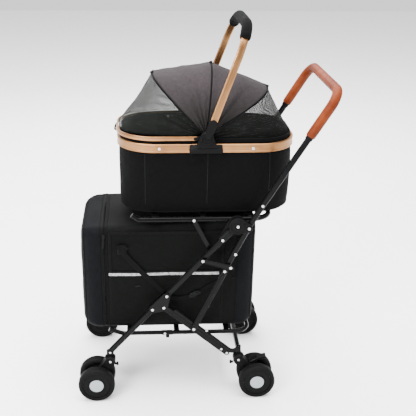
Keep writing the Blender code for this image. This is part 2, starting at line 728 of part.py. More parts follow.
def canopy():
    """Four panels: front net, two fabric gores and the rear net down to the rim."""
    lid = (0.0, LID_REACH - 0.008, LID_Y - 0.006, 3.2)
    rim_back = (180.0, RIM_LENGTH / 2 - CARRIER_X + PIVOT[0] - 0.004, 0.137, 3.0)
    gore("net_front", lid, FRONT_BOW, NET_THICK, "net_fabric", "front_bow", (0.0040, 0.0034))
    gore("canopy_front", FRONT_BOW, MID_BOW, CANOPY_THICK, "grey_fabric", "mid_bow")
    gore("canopy_rear", MID_BOW, REAR_BOW, CANOPY_THICK, "grey_fabric", "carrier")
    gore("net_rear", REAR_BOW, rim_back, NET_THICK, "net_fabric", "carrier", (0.0034, -0.0160))


# ---------------------------------------------------------------- carry handle
def carry_path():
    corners = [swung(CARRY_ANGLE, out, y)
               for out, y in ((0.022, CARRY_ROOT_Y), (CARRY_REACH, CARRY_TOP_Y),
                              (CARRY_REACH, -CARRY_TOP_Y), (0.022, -CARRY_ROOT_Y))]
    return rounded_path(corners, [CARRY_BEND_R, CARRY_BEND_R], 9)


def carry_handle():
    """Flat gold bow of the carry handle, covered by a foam grip over its top."""
    tilt = math.radians(CARRY_ANGLE)
    normal = Vector((-math.sin(tilt), 0.0, math.cos(tilt)))
    path = carry_path()
    seam = 5
    ahead = (path[seam + 1] - path[seam - 1]).normalized()
    arm_run = path[:seam] + [path[seam] - ahead * 0.003, path[seam]]
    grip_run = [path[seam] + ahead * 0.0005, path[seam] + ahead * 0.006]
    grip_run += path[seam + 1:-seam - 1]
    grip_run += [Vector((p.x, -p.y, p.z)) for p in grip_run[1::-1]]
    for side, run in (("left", arm_run), ("right", [Vector((p.x, -p.y, p.z)) for p in arm_run])):
        arm = sweep(run, oval(CARRY_THICK, CARRY_WIDE), normal)
        node = finish("carry_arm_" + side, arm, "gold_aluminium", "carry_handle")
        s = 1.0 if side == "left" else -1.0
        low = RIM_HALF_WIDTH + 2 * GAP + 0.0152
        disc = plate(circle(PIVOT, 0.0200), s * low, s * (low + 0.0105))
        neck = swung(CARRY_ANGLE, 0.045, 0.0)
        socket = hull_outline([(*PIVOT, 0.0120), (neck.x, neck.z, 0.0135)])
        parts = [finish("disc", disc, "gold_aluminium", "carry_handle"),
                 finish("socket", plate(socket, s * low, s * (low + 0.0104)), "gold_aluminium",
                        "carry_handle")]
        boolean(node, parts, "UNION")
    finish("carry_grip", sweep(grip_run, oval(2 * CARRY_GRIP_R, 2 * CARRY_GRIP_R), normal),
           "black_foam", "carry_handle")


# ---------------------------------------------------------------- build
def clear_scene():
    for old in list(bpy.data.objects):
        bpy.data.objects.remove(old)


def main():
    clear_scene()
    make_bodies()
    for side, s in SIDES:
        front_leg(side, s)
        hinge_plate(side, s)
        leg_bracket(side, s)
        hinge_cover(side, s)
        lower_brace(side, s)
        latch_bar(side, s)
        rear_leg(side, s)
        wheel_mount("front_caster_" + side, FRONT_STEM, FRONT_AXLE, "front_caster_" + side, s)
        wheel_mount("rear_wheel_mount_" + side, REAR_STEM, REAR_AXLE, "rear_legs", s)
        brake_pedal(side, s)
        pivot_block(side, s)
    top_rack()
    lower_rack()
    lower_bag()
    push_tube()
    push_grip()
    rear_crossbar()
    wheels()
    carrier_rim()
    carrier_body()
    carrier_pad()
    bow_wire("rear_bow", REAR_BOW, "carrier")
    bow_wire("mid_bow", MID_BOW, "mid_bow")
    bow_wire("front_bow", FRONT_BOW, "front_bow")
    lid_bow()
    canopy()
    carry_handle()


main()
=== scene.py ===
"""Looks of a two-deck folding pet stroller with a carrier on top and a bag below.

Frame: +X forwards, +Y to the stroller's left, +Z up, metres, floor at Z = 0.
"""
import math

import bmesh
import bpy
import numpy as np
from mathutils import Matrix, Vector, noise


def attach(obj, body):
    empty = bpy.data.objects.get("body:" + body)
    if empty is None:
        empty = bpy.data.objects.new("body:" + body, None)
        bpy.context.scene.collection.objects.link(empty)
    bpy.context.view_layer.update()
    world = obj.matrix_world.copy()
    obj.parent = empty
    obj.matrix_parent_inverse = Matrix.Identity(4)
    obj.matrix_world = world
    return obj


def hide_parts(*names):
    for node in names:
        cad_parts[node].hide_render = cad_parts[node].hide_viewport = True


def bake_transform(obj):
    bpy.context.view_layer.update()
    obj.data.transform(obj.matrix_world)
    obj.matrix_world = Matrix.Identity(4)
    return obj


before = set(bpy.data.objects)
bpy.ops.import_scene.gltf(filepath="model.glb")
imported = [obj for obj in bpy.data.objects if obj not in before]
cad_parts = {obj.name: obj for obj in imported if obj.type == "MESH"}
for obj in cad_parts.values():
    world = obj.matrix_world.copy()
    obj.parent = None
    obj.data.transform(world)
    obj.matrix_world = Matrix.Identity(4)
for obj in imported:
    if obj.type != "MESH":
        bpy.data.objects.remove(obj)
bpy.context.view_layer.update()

SIDES = (("left", 1.0), ("right", -1.0))

# ---------------------------------------------------------------- places on the stroller
FRAME_Y = 0.2
HINGE = (-0.105, 0.612)
HANDLE_RIVET = (-0.14, 0.605)
ARM_END = (-0.069, 0.457)
LATCH_PIN = (-0.087, 0.471)
HANDLE_BEND = (-0.18, 0.676)
HANDLE_GRIP_START = (-0.311, 0.894)
HANDLE_TOP = (-0.3907, 1.0256)
LATCH_PIVOT = (0.001, 0.496)
FRONT_LEG_RIVET = (-0.06, 0.563)
BRACKET_TOP = (0.114, 0.37)
BRACKET_LOW = (0.16, 0.322)
REAR_LEG_PIVOT = (0.1233, 0.3285)
BRACE_END = (0.026, 0.248)
REAR_LEG_END = (-0.086, 0.151)
FRONT_STEM = (0.3, 0.1505)
REAR_STEM = (-0.125, 0.1475)
TUBE_WIDE = 0.019
TUBE_THICK = 0.014
OUTER_FACE = FRAME_Y + TUBE_THICK / 2 + 0.0004
FRONT_AXLE = (0.3457, 0.06)
REAR_AXLE = (-0.1857, 0.06)
INNER_WHEEL_Y = 0.166
OUTER_WHEEL_Y = 0.233
CARRIER_X = -0.0125
RIM_LENGTH = 0.555
RIM_HALF_WIDTH = 0.158
RIM_TOP = 0.86
RIM_HIGH = 0.027
RIM_CORNER_R = 0.12
BODY_BOTTOM = 0.6325
PIVOT = (-0.007, 0.884)
LID_REACH = 0.272
LID_Y = 0.1552
LID_SQUARE = 3.2                       # how boxy the lid's bow is; 2 is an ellipse
# each bow: its angle in degrees, reach, half width and boxiness
FRONT_BOW = (44.6, 0.225, 0.149, 2.5)
MID_BOW = (96.5, 0.19, 0.1435, 2.1)
REAR_BOW = (150.0, 0.23, 0.138, 2.5)
CARRY_ANGLE = 110.0


# ---------------------------------------------------------------- camera and stage
def camera():
    """View from the stroller's left, a little above the canopy and looking down on it."""
    ahead = Vector((-0.05489, -0.9184, -0.39181)).normalized()
    right = Vector((-0.99822, 0.05966, 0.0)).normalized()
    up = right.cross(ahead)
    roll = 0.0113
    across = right * math.cos(roll) + up * math.sin(roll)
    upward = up * math.cos(roll) - right * math.sin(roll)
    data = bpy.data.cameras.new("camera")
    data.sensor_width = 36.0
    data.lens = 66.1
    data.shift_x = 0.0564
    data.shift_y = 0.0281
    data.dof.use_dof = False
    eye = bpy.data.objects.new("camera", data)
    bpy.context.collection.objects.link(eye)
    turn = Matrix((across, upward, -ahead)).transposed().to_4x4()
    eye.matrix_world = Matrix.Translation((0.1883, 2.3559, 1.5518)) @ turn
    bpy.context.scene.camera = eye


def area_light(name, place, aim, size, power):
    data = bpy.data.lights.new(name, "AREA")
    data.shape = "RECTANGLE"
    data.size, data.size_y = size
    data.energy = power
    lamp = bpy.data.objects.new(name, data)
    bpy.context.collection.objects.link(lamp)
    lamp.location = place
    lamp.rotation_euler = (Vector(aim) - Vector(place)).to_track_quat("-Z", "Y").to_euler()


def studio():
    """Wide flat pale floor under an even white sky, with soft lights all round."""
    half = 9.0
    world = bpy.data.worlds.new("studio")
    bpy.context.scene.world = world
    world.use_nodes = True
    sky = world.node_tree.nodes["Background"]
    sky.inputs["Color"].default_value = (1.0, 1.0, 1.0, 1.0)
    sky.inputs["Strength"].default_value = 1.25
    area_light("key", (1.9, 2.4, 2.3), (0.0, 0.0, 0.65), (1.1, 1.1), 210.0)
    area_light("fill", (-2.6, 2.2, 1.8), (0.0, 0.0, 0.6), (1.6, 2.2), 30.0)
    area_light("top", (0.2, -0.6, 4.2), (0.2, -0.6, 0.0), (5.0, 5.0), 1050.0)
    area_light("back", (0.6, -3.0, 2.4), (0.0, 0.0, 0.6), (2.8, 1.4), 70.0)
    floor_look = LOOKS["floor"] = Look("stage_floor", grey(0.93), 0.8)
    floor_look.tint(floor_look.noise(floor_look.where("Object", 3.0), 2.0), grey(0.92), grey(0.95))
    corners = [[(x, y, 0.0) for x in (-half, half)] for y in (-half, half)]
    Shape().rings(corners, closed=False, caps=False).build("stage_floor", "floor", None)


# ---------------------------------------------------------------- materials
def grey(level):
    return (level, level, level)


def shade(colour, factor, lift=0.0):
    return tuple(c * factor + lift for c in colour)


class Look:
    """A Principled material with short ways to give it pattern and relief."""

    def __init__(self, name, colour, roughness, metallic=0.0, **sockets):
        self.material = bpy.data.materials.new(name)
        self.material.use_nodes = True
        self.tree = self.material.node_tree
        self.shader = self.tree.nodes["Principled BSDF"]
        self.relief = None
        sockets |= {"Base_Color": (*colour, 1.0), "Roughness": roughness, "Metallic": metallic}
        for key, value in sockets.items():
            self.shader.inputs[key.replace("_", " ")].default_value = value

    def node(self, kind, **values):
        made = self.tree.nodes.new(kind)
        for key, value in values.items():
            target = made.inputs[int(key[1:])] if key[1:].isdigit() else made.inputs[key]
            if isinstance(value, bpy.types.NodeSocket):
                self.tree.links.new(value, target)
            else:
                target.default_value = value
        return made

    def where(self, kind="Object", scale=1.0):
        """Texture coordinates, in metres for Object and for these pieces' UV."""
        source = self.tree.nodes.new("ShaderNodeTexCoord").outputs[kind]
        stretch = scale if isinstance(scale, tuple) else (scale, scale, scale)
        return self.node("ShaderNodeMapping", Vector=source, Scale=stretch).outputs["Vector"]

    def noise(self, vector, scale, detail=2.0, rough=0.5):
        made = self.node("ShaderNodeTexNoise", Vector=vector, Scale=scale, Detail=detail, Roughness=rough)
        return made.outputs["Fac"]

    def cloud(self, scale, detail=4.0, rough=0.6):
        """Even noise through the piece's own space."""
        return self.noise(self.where(), scale, detail, rough)

    def grain(self, across, along):
        """Noise drawn out along the cloth or the profile, by its UV."""
        return self.noise(self.where("UV", (across, along, 1.0)), 1.0, 3.0, 0.6)

    def cells(self, scale):
        return self.node("ShaderNodeTexVoronoi", Vector=self.where(), Scale=scale).outputs["Distance"]

    def edges(self):
        return self.tree.nodes.new("ShaderNodeNewGeometry").outputs["Pointiness"]

    def math(self, operation, a, b=0.0):
        made = self.node("ShaderNodeMath", _0=a, _1=b)
        made.operation = operation
        return made.outputs[0]

    def plus(self, a, b):
        return self.math("ADD", a, b)

    def times(self, a, b):
        return self.math("MULTIPLY", a, b)

    def span(self, value, low, high, new_low=0.0, new_high=1.0):
        """Map low..high to new_low..new_high, clamped."""
        ends = {"From Min": low, "From Max": high, "To Min": new_low, "To Max": new_high}
        return self.node("ShaderNodeMapRange", Value=value, **ends).outputs["Result"]

    def mix(self, part, dark, light):
        made = self.tree.nodes.new("ShaderNodeMix")
        made.data_type = "RGBA"
        self.tree.links.new(part, made.inputs["Factor"])
        for target, colour in ((made.inputs[6], dark), (made.inputs[7], light)):
            if isinstance(colour, bpy.types.NodeSocket):
                self.tree.links.new(colour, target)
            else:
                target.default_value = (*colour, 1.0)
        return made.outputs[2]

    def tint(self, part, dark, light):
        self.set("Base Color", self.mix(part, dark, light))

    def set(self, name, value):
        self.tree.links.new(value, self.shader.inputs[name])

    def roughen(self, by, smooth, rough, low=0.3, high=0.7):
        self.set("Roughness", self.span(by, low, high, smooth, rough))

    def bump(self, height, strength, distance):
        made = self.node("ShaderNodeBump", Strength=strength, Distance=distance, Height=height)
        if self.relief:
            self.tree.links.new(self.relief, made.inputs["Normal"])
        self.relief = made.outputs["Normal"]
        self.set("Normal", self.relief)

    def threads(self, pitch):
        """The two waves, across and along, of a plain weave with this thread pitch."""
        parts = self.node("ShaderNodeSeparateXYZ", Vector=self.where("UV")).outputs
        return [self.math("SINE", self.times(parts[i], math.tau / pitch)) for i in range(2)]


def woven(name, dark, light, pitch, roughness, sheen=0.0, painted_top_light=None):
    """Cloth with UV in metres: a plain weave, heathered yarns, soft large-scale variation and, if asked,
    painted top light.
    """
    look = Look(name, light, roughness, Sheen_Weight=sheen, Sheen_Roughness=0.45, Specular_IOR_Level=0.04)
    checks = look.times(*look.threads(pitch))
    yarn = look.plus(look.times(look.grain(60.0, 900.0), 0.5), look.times(look.grain(900.0, 60.0), 0.5))
    cloud = look.cloud(9.0, 3.0)
    part = look.plus(look.span(yarn, 0.38, 0.62), look.span(cloud, 0.3, 0.7, -0.15, 0.15))
    part = look.plus(part, look.times(checks, 0.12))
    # painted light: the cloth is painted lighter towards its top, between the two given heights, as if lit
    # from above
    if painted_top_light:
        height = look.node("ShaderNodeSeparateXYZ", Vector=look.where()).outputs["Z"]
        part = look.times(look.plus(part, 0.35), look.span(height, *painted_top_light, 0.22, 1.0))
    look.tint(look.span(part, 0.0, 1.0), dark, light)
    look.roughen(cloud, roughness - 0.07, roughness + 0.05)
    look.bump(checks, 0.35, pitch * 0.25)
    look.bump(cloud, 0.15, 0.004)
    return look


def netting(name, colour, pitch):
    """See-through knitted net: holes between dark threads."""
    look = Look(name, colour, 0.7, Specular_IOR_Level=0.05)
    cell = look.math("ABSOLUTE", look.times(*look.threads(pitch)))
    look.set("Alpha", look.span(cell, 0.25, 0.41, 1.0, 0.1))
    look.tint(look.cloud(22.0, 3.0), shade(colour, 0.7), shade(colour, 1.25))
    look.bump(cell, 0.5, 0.0006)
    return look


def steel(name, colour, roughness):
    """Powder-coated tube: fine orange peel, faint dust, rubbed edges."""
    look = Look(name, colour, roughness, Specular_IOR_Level=0.075)
    smear = look.cloud(14.0)
    worn = look.times(look.span(look.edges(), 0.6, 0.75), look.span(smear, 0.55, 0.75))
    look.tint(worn, look.mix(smear, colour, shade(colour, 1.5)), grey(0.02))
    look.roughen(smear, roughness - 0.06, roughness + 0.1)
    look.bump(look.cloud(900.0, 2.0, 0.5), 0.12, 0.0003)
    return look


def plastic(name, colour, roughness, grain=1400.0):
    """Moulded plastic with a fine spark-eroded grain."""
    look = Look(name, colour, roughness, Specular_IOR_Level=0.05)
    smear = look.cloud(18.0)
    base = look.mix(smear, colour, shade(colour, 1.35))
    look.tint(look.span(look.edges(), 0.54, 0.66), base, shade(colour, 2.2, 0.002))
    look.roughen(smear, roughness - 0.08, roughness + 0.1)
    look.bump(look.cloud(grain, 2.0), 0.35, 0.0003)
    return look


def brushed(name, dark, light, roughness):
    """Anodised aluminium with brush lines along the profile."""
    look = Look(name, light, roughness, 1.0, Anisotropic=0.35)
    lines = look.grain(2600.0, 10.0)
    cloud = look.cloud(12.0, 3.0, 0.5)
    part = look.plus(look.span(lines, 0.35, 0.65, 0.0, 0.6), look.span(cloud, 0.35, 0.65, 0.0, 0.4))
    look.tint(part, dark, light)
    look.roughen(lines, roughness - 0.05, roughness + 0.1, 0.35, 0.65)
    look.bump(lines, 0.06, 0.0002)
    return look


def leather(name, dark, light):
    """Tanned leather: pebble grain, darker creases, soft colour mottling."""
    look = Look(name, light, 0.48, Specular_IOR_Level=0.08)
    pebble = look.cells(620.0)
    crease = look.cloud(160.0, 4.0, 0.65)
    cloud = look.span(look.cloud(16.0), 0.3, 0.7, 0.0, 0.75)
    look.tint(look.plus(cloud, look.span(pebble, 0.0, 0.6, 0.25, 0.0)), dark, light)
    look.roughen(crease, 0.4, 0.58)
    look.bump(look.times(pebble, -1.0), 0.45, 0.0005)
    look.bump(crease, 0.3, 0.0008)
    return look


def foam(name, colour):
    """Closed-cell foam sleeve: fine pits and a slightly uneven black."""
    look = Look(name, colour, 0.92, Sheen_Weight=0.01, Specular_IOR_Level=0.04)
    look.tint(look.cloud(30.0), shade(colour, 0.6), shade(colour, 1.6))
    look.bump(look.cells(900.0), 0.6, 0.0008)
    return look


def rubber(name, colour):
    """Tyre rubber, greyer where it has rolled in dust."""
    look = Look(name, colour, 0.7, Specular_IOR_Level=0.07)
    dust = look.cloud(45.0, 5.0, 0.65)
    look.tint(look.span(dust, 0.35, 0.75), colour, shade(colour, 1.9, 0.001))
    look.roughen(dust, 0.55, 0.8)
    look.bump(look.cloud(1200.0, 2.0), 0.25, 0.0004)
    return look


def reflective(name, colour):
    """Woven tape with a glass-bead coat rubbed through to the dark backing in specks."""
    look = Look(name, colour, 0.5, 0.3)
    grain = look.cloud(620.0, 2.0)
    worn = look.span(look.cloud(170.0, 3.0, 0.7), 0.38, 0.52, 0.0, 0.75)
    look.tint(look.plus(worn, look.span(grain, 0.4, 0.6, 0.0, 0.25)), shade(colour, 0.12), colour)
    look.bump(grain, 0.2, 0.0003)
    return look


def bright_metal(name, colour, roughness, metallic=1.0):
    """Plated or satin metal, with fine swirls and a faint cloudiness."""
    look = Look(name, colour, roughness, metallic)
    swirl = look.cloud(380.0, 3.0)
    look.tint(look.cloud(60.0, 3.0), shade(colour, 0.82), colour)
    look.roughen(swirl, roughness - 0.06, roughness + 0.12)
    look.bump(swirl, 0.1, 0.0002)
    return look


def webbing(name, colour, **sockets):
    """Woven strap with cross ribs; UV in metres, second axis along the strap."""
    look = Look(name, colour, 0.75, Sheen_Weight=0.01, Specular_IOR_Level=0.05, **sockets)
    rib = look.threads(0.0016)[1]
    part = look.plus(look.times(rib, 0.25), look.grain(700.0, 200.0))
    look.tint(part, shade(colour, 0.5), shade(colour, 1.5))
    look.bump(rib, 0.6, 0.0005)
    return look


LOOKS = {
    "steel": steel("black_powder_coat", (0.0012, 0.0012, 0.0013), 0.24),
    "plastic": plastic("black_moulded_plastic", (0.0022, 0.0022, 0.0024), 0.5),
    "gloss_plastic": plastic("black_glossy_plastic", (0.0014, 0.0014, 0.0015), 0.3, 900.0),
    "hub": plastic("wheel_hub_plastic", (0.0016, 0.0016, 0.0017), 0.45),
    "tyre": rubber("tyre_rubber", grey(0.0015)),
    "cap": bright_metal("satin_silver_cap", (0.27, 0.295, 0.31), 0.5, 0.2),
    "rivet": bright_metal("nickel_rivet", (0.62, 0.62, 0.61), 0.34),
    "gold": brushed("rose_gold_aluminium", (0.155, 0.066, 0.023), (0.41, 0.212, 0.092), 0.32),
    "leather": leather("tan_leather", (0.07, 0.011, 0.0024), (0.165, 0.032, 0.007)),
    "foam": foam("black_foam", (0.0013, 0.0013, 0.0014)),
    # the canopy cloth has painted top light: it is painted lighter from 0.9 m up to 1.04 m
    "canopy": woven("canopy_cloth", (0.0062, 0.0066, 0.0052), (0.026, 0.0215, 0.0235), 0.0011, 0.85, 0.02,
                    painted_top_light=(0.9, 1.04)),
    "carrier": woven("carrier_cloth", (0.0007, 0.0007, 0.0008), (0.0024, 0.0024, 0.0026), 0.0009, 0.8),
    "pad": woven("pad_cloth", (0.006, 0.006, 0.0065), (0.016, 0.016, 0.017), 0.0014, 0.9, 0.02),
    "bag": woven("bag_side_cloth", (0.0007, 0.0009, 0.0007), (0.0026, 0.003, 0.0026), 0.0008, 0.7),
    "bag_end": woven("bag_end_cloth", (0.001, 0.0011, 0.0014), (0.003, 0.0033, 0.0042), 0.0008, 0.7),
    "piping": woven("piping_cloth", grey(0.0012), (0.0042, 0.0042, 0.004), 0.001, 0.75),
    "seam": woven("seam_tape", (0.006, 0.0065, 0.006), (0.013, 0.014, 0.013), 0.001, 0.75),
    "net": netting("canopy_net", (0.008, 0.009, 0.008), 0.003),
    "strap": webbing("black_webbing", grey(0.0016)),
    "zip": webbing("zip_tape", (0.0016, 0.0016, 0.0017)),
    "tan_thread": webbing("tan_thread", (0.24, 0.09, 0.04)),
    # the white binding's emission is painted light: it glows so that it stays bright in the shade inside the
    # canopy
    "white": webbing("white_binding", (0.95, 0.94, 0.9), Emission_Color=(1.0, 1.0, 0.98, 1.0),
                     Emission_Strength=0.5),
    "silver": reflective("reflective_tape", grey(0.33)),
}
SLOT_OF = {look: slot for slot, looks in {
    "black_steel": "steel rivet", "black_plastic": "plastic gloss_plastic", "hub_plastic": "hub cap",
    "tyre_rubber": "tyre", "gold_aluminium": "gold", "tan_leather": "leather tan_thread",
    "black_foam": "foam", "canopy_fabric": "canopy white", "net_fabric": "net",
    "carrier_fabric": "carrier seam", "bag_fabric": "bag bag_end zip strap silver",
}.items() for look in looks.split()}


# ---------------------------------------------------------------- shape building
class Shape:
    """Collects the rings, patches and solids of one piece, with UV in metres."""

    def __init__(self):
        self.points = []
        self.faces = []
        self.uvs = []

    def rings(self, rings, closed=True, looped=False, caps=True):
        """Bridge equal rings of points. looped joins the last ring to the first."""
        grid = np.array(rings, float)
        rows, count = grid.shape[:2]
        base = len(self.points)
        self.points.extend(tuple(p) for p in grid.reshape(-1, 3))
        round_steps = np.linalg.norm(np.roll(grid, -1, 1) - grid, axis=2).mean(0)
        along_steps = np.linalg.norm(np.roll(grid, -1, 0) - grid, axis=2).mean(1)
        u = np.concatenate(([0.0], np.cumsum(round_steps)))
        v = np.concatenate(([0.0], np.cumsum(along_steps)))
        for r in range(rows if looped else rows - 1):
            for c in range(count if closed else count - 1):
                r2, c2 = (r + 1) % rows, (c + 1) % count
                quad = ((r, c), (r, c2), (r2, c2), (r2, c))
                self.faces.append(tuple(base + i * count + j for i, j in quad))
                self.uvs.append([(u[c], v[r]), (u[c + 1], v[r]), (u[c + 1], v[r + 1]), (u[c], v[r + 1])])
        if caps and closed and not looped:
            for r in (0, rows - 1):
                ring = list(range(base + r * count, base + (r + 1) * count))
                self.faces.append(tuple(ring))
                self.uvs.append([(self.points[i][0], self.points[i][1] + self.points[i][2]) for i in ring])
        return self

    def sweep(self, path, profile, side=(0, 1, 0), looped=False, scales=None):
        """Sweep (across, side) profile points along a path of points."""
        return self.rings(swept(path, profile, side, looped, scales), looped=looped)

    def turned(self, centre, profile, steps=32, axis="Y", looped=False, sense=1.0):
        """Rings of (along, radius) round an axis through centre. looped closes the profile."""
        cx, cy, cz = centre
        rings = []
        for along, radius in profile:
            ring = []
            for i in range(steps):
                turn = math.tau * i / steps
                a, b = radius * math.cos(turn), radius * math.sin(turn)
                if axis == "Y":
                    ring.append((cx + a, cy + sense * along, cz + b))
                elif axis == "Z":
                    ring.append((cx + a, cy + b, cz + sense * along))
                else:
                    ring.append((cx + sense * along, cy + a, cz + b))
            rings.append(ring)
        return self.rings(rings, looped=looped)

    def plate(self, outline, low_y, high_y, chamfer=0.0008):
        """An (x, z) outline extruded across the stroller, with chamfered edges."""
        middle = np.mean(np.array(outline), axis=0)
        pulled = []
        count = len(outline)
        for i in range(count):
            a, b, c = (np.array(outline[j % count]) for j in (i - 1, i, i + 1))
            way = (c - a) / (np.linalg.norm(c - a) or 1.0)
            inward = np.array((-way[1], way[0]))
            if np.dot(middle - b, inward) < 0:
                inward = -inward
            pulled.append(tuple(b + inward * chamfer))
        s = 1.0 if high_y > low_y else -1.0
        levels = ((pulled, low_y), (outline, low_y + s * chamfer),
                  (outline, high_y - s * chamfer), (pulled, high_y))
        return self.rings([[(x, y, z) for x, z in ring] for ring, y in levels])

    def box(self, low, high, chamfer=0.0008):
        """A box with chamfered edges, built as an x, z outline through y."""
        (x0, y0, z0), (x1, y1, z1) = low, high
        c = chamfer
        outline = [(x0 + c, z0), (x1 - c, z0), (x1, z0 + c), (x1, z1 - c),
                   (x1 - c, z1), (x0 + c, z1), (x0, z1 - c), (x0, z0 + c)]
        return self.plate(outline, y0, y1, c)

    def build(self, name, look, body="chassis", smooth=40.0, cad=None, slot=None):
        """Make the piece with its look, on the body it rides on, and hide the CAD node that it stands in for.
        """
        mesh = bpy.data.meshes.new(name)
        mesh.from_pydata(self.points, [], self.faces)
        layer = mesh.uv_layers.new(name="UVMap")
        layer.data.foreach_set("uv", [v for face in self.uvs for uv in face for v in uv])
        builder = bmesh.new()
        builder.from_mesh(mesh)
        bmesh.ops.recalc_face_normals(builder, faces=builder.faces)
        builder.to_mesh(mesh)
        builder.free()
        mesh.materials.append(LOOKS[look].material)
        mesh.shade_smooth()
        if smooth < 180.0:
            mesh.set_sharp_from_angle(angle=math.radians(smooth))
        piece = bpy.data.objects.new(name, mesh)
        bpy.context.collection.objects.link(piece)
        slot = slot or SLOT_OF.get(look)
        if cad:
            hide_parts(cad)
        if body:
            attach(piece, body)
        return piece


def applied(piece):
    """Replace a piece's mesh by the result of its modifiers."""
    bpy.context.view_layer.update()
    result = bpy.data.meshes.new_from_object(piece.evaluated_get(bpy.context.evaluated_depsgraph_get()))
    piece.modifiers.clear()
    piece.data = result
    return piece


def swept(path, profile, side=(0, 1, 0), looped=False, scales=None):
    points = [Vector(p) for p in path]
    last = len(points) - 1
    up = Vector(side).normalized()
    rings = []
    for i, here in enumerate(points):
        before = points[i - 1] if i else (points[last] if looped else here)
        after = points[i + 1] if i < last else (points[0] if looped else here)
        ahead = (after - before).normalized()
        up = (up - ahead * up.dot(ahead)).normalized()
        across = ahead.cross(up)
        grow = scales[i] if scales else 1.0
        rings.append([here + across * (a * grow) + up * (b * grow) for a, b in profile])
    return rings


def oval(wide, thick, count=24, power=2.0, waist=0.0):
    """Superellipse profile; waist pulls the middle of the broad sides in."""
    points = []
    for i in range(count):
        turn = math.tau * (i + 0.5) / count
        c, s = math.cos(turn), math.sin(turn)
        a = wide / 2 * math.copysign(abs(c) ** (2 / power), c)
        b = thick / 2 * math.copysign(abs(s) ** (2 / power), s)
        pull = 1.0 - waist * math.exp(-(a / (wide * 0.2)) ** 2)
        points.append((a, b * pull))
    return points


def rod(wide, count):
    return oval(wide, wide, count)


CORNERS = ((1, 1, 0.0), (-1, 1, 90.0), (-1, -1, 180.0), (1, -1, 270.0))


def corner_arc(half_a, half_b, radius, corner, steps):
    """Arc of one corner of a rounded rectangle; a corner is its two signs and its starting angle."""
    sa, sb, start = corner
    turns = [math.radians(start + 90.0 * step / steps) for step in range(steps + 1)]
    return [(sa * (half_a - radius) + radius * math.cos(turn),
             sb * (half_b - radius) + radius * math.sin(turn)) for turn in turns]


def soft_box(wide, thick, radius, steps=3):
    """Rectangle profile with rounded corners."""
    return [p for corner in CORNERS for p in corner_arc(wide / 2, thick / 2, radius, corner, steps)]


def rounded_path(corners, radii, steps=8):
    points = [Vector(c) for c in corners]
    path = [points[0]]
    for i in range(1, len(points) - 1):
        back = (points[i - 1] - points[i]).normalized()
        on = (points[i + 1] - points[i]).normalized()
        bend = math.pi - back.angle(on)
        radius = radii[i - 1]
        centre = points[i] + (back + on).normalized() * (radius / math.cos(bend / 2))
        start = points[i] + back * (radius * math.tan(bend / 2)) - centre
        end = points[i] + on * (radius * math.tan(bend / 2)) - centre
        middle = start.lerp(end, 0.5).normalized()
        spread = (end - start).normalized()
        for step in range(steps + 1):
            swing = bend * (step / steps - 0.5)
            path.append(centre + middle * (radius * math.cos(swing)) + spread * (radius * math.sin(swing)))
    path.append(points[-1])
    return path


def fine(path, step):
    """Add points so that no straight run is longer than step."""
    made = [Vector(path[0])]
    for a, b in zip(path, path[1:]):
        a, b = Vector(a), Vector(b)
        parts = max(1, math.ceil((b - a).length / step))
        made += [a.lerp(b, k / parts) for k in range(1, parts + 1)]
    return made


def curve_through(points, parts=8):
    """Smooth path through points, Catmull-Rom."""
    p = [Vector(q) for q in points]
    p = [p[0] * 2 - p[1]] + p + [p[-1] * 2 - p[-2]]
    made = []
    for i in range(1, len(p) - 2):
        for k in range(parts):
            t = k / parts
            made.append(0.5 * ((2 * p[i]) + (p[i + 1] - p[i - 1]) * t
                               + (2 * p[i - 1] - 5 * p[i] + 4 * p[i + 1] - p[i + 2]) * t * t
                               + (3 * p[i] - p[i - 1] - 3 * p[i + 1] + p[i + 2]) * t ** 3))
    made.append(p[-2])
    return made


def disc_outline(centre, radius, count=24):
    return [(centre[0] + radius * math.cos(math.tau * i / count),
             centre[1] + radius * math.sin(math.tau * i / count)) for i in range(count)]


def hull(discs, count=28):
    """Outline that wraps a set of (x, z, radius) discs."""
    rims = (p for x, z, r in discs for p in disc_outline((x, z), r, count))
    points = sorted({(round(x, 7), round(z, 7)) for x, z in rims})

    def half(sequence):
        chain = []
        for p in sequence:
            while len(chain) > 1:
                (ax, az), (bx, bz) = chain[-2:]
                if (bx - ax) * (p[1] - az) - (bz - az) * (p[0] - ax) > 1e-10:
                    break
                chain.pop()
            chain.append(p)
        return chain[:-1]

    return half(points) + half(reversed(points))


def plan(inset, steps=10, extra=10):
    """Rounded plan outline of the carrier, inset from the rim, with points on its straight runs."""
    points = []
    radius = RIM_CORNER_R - inset
    half_x, half_y = RIM_LENGTH / 2 - inset, RIM_HALF_WIDTH - inset
    for sx, sy, start in CORNERS:
        for step in range(steps + 1):
            turn = math.radians(start + 90.0 * step / steps)
            points.append((CARRIER_X + sx * (half_x - radius) + radius * math.cos(turn),
                           sy * (half_y - radius) + radius * math.sin(turn)))
        if start in (0.0, 180.0):
            far = (CARRIER_X - sx * (half_x - radius), sy * half_y)
            a = points[-1]
            points += [(a[0] + (far[0] - a[0]) * k / extra, far[1]) for k in range(1, extra)]
        else:
            a = points[-1]
            points += [(a[0], a[1] * (1 - 2 * k / 5)) for k in range(1, 5)]
    return points


def mm(*pairs):
    """Points or (along, radius) pairs given in millimetres."""
    return [(round(a / 1000, 6), round(b / 1000, 6)) for a, b in pairs]


def at_y(place, y):
    return (place[0], y, place[1])


def along_y(y, *places):
    """The run through (x, z) places, at one y."""
    return [at_y(place, y) for place in places]


def wave(x, y, z):
    """Smooth repeatable noise, about -1 to 1."""
    return noise.noise(Vector((x, y, z)))


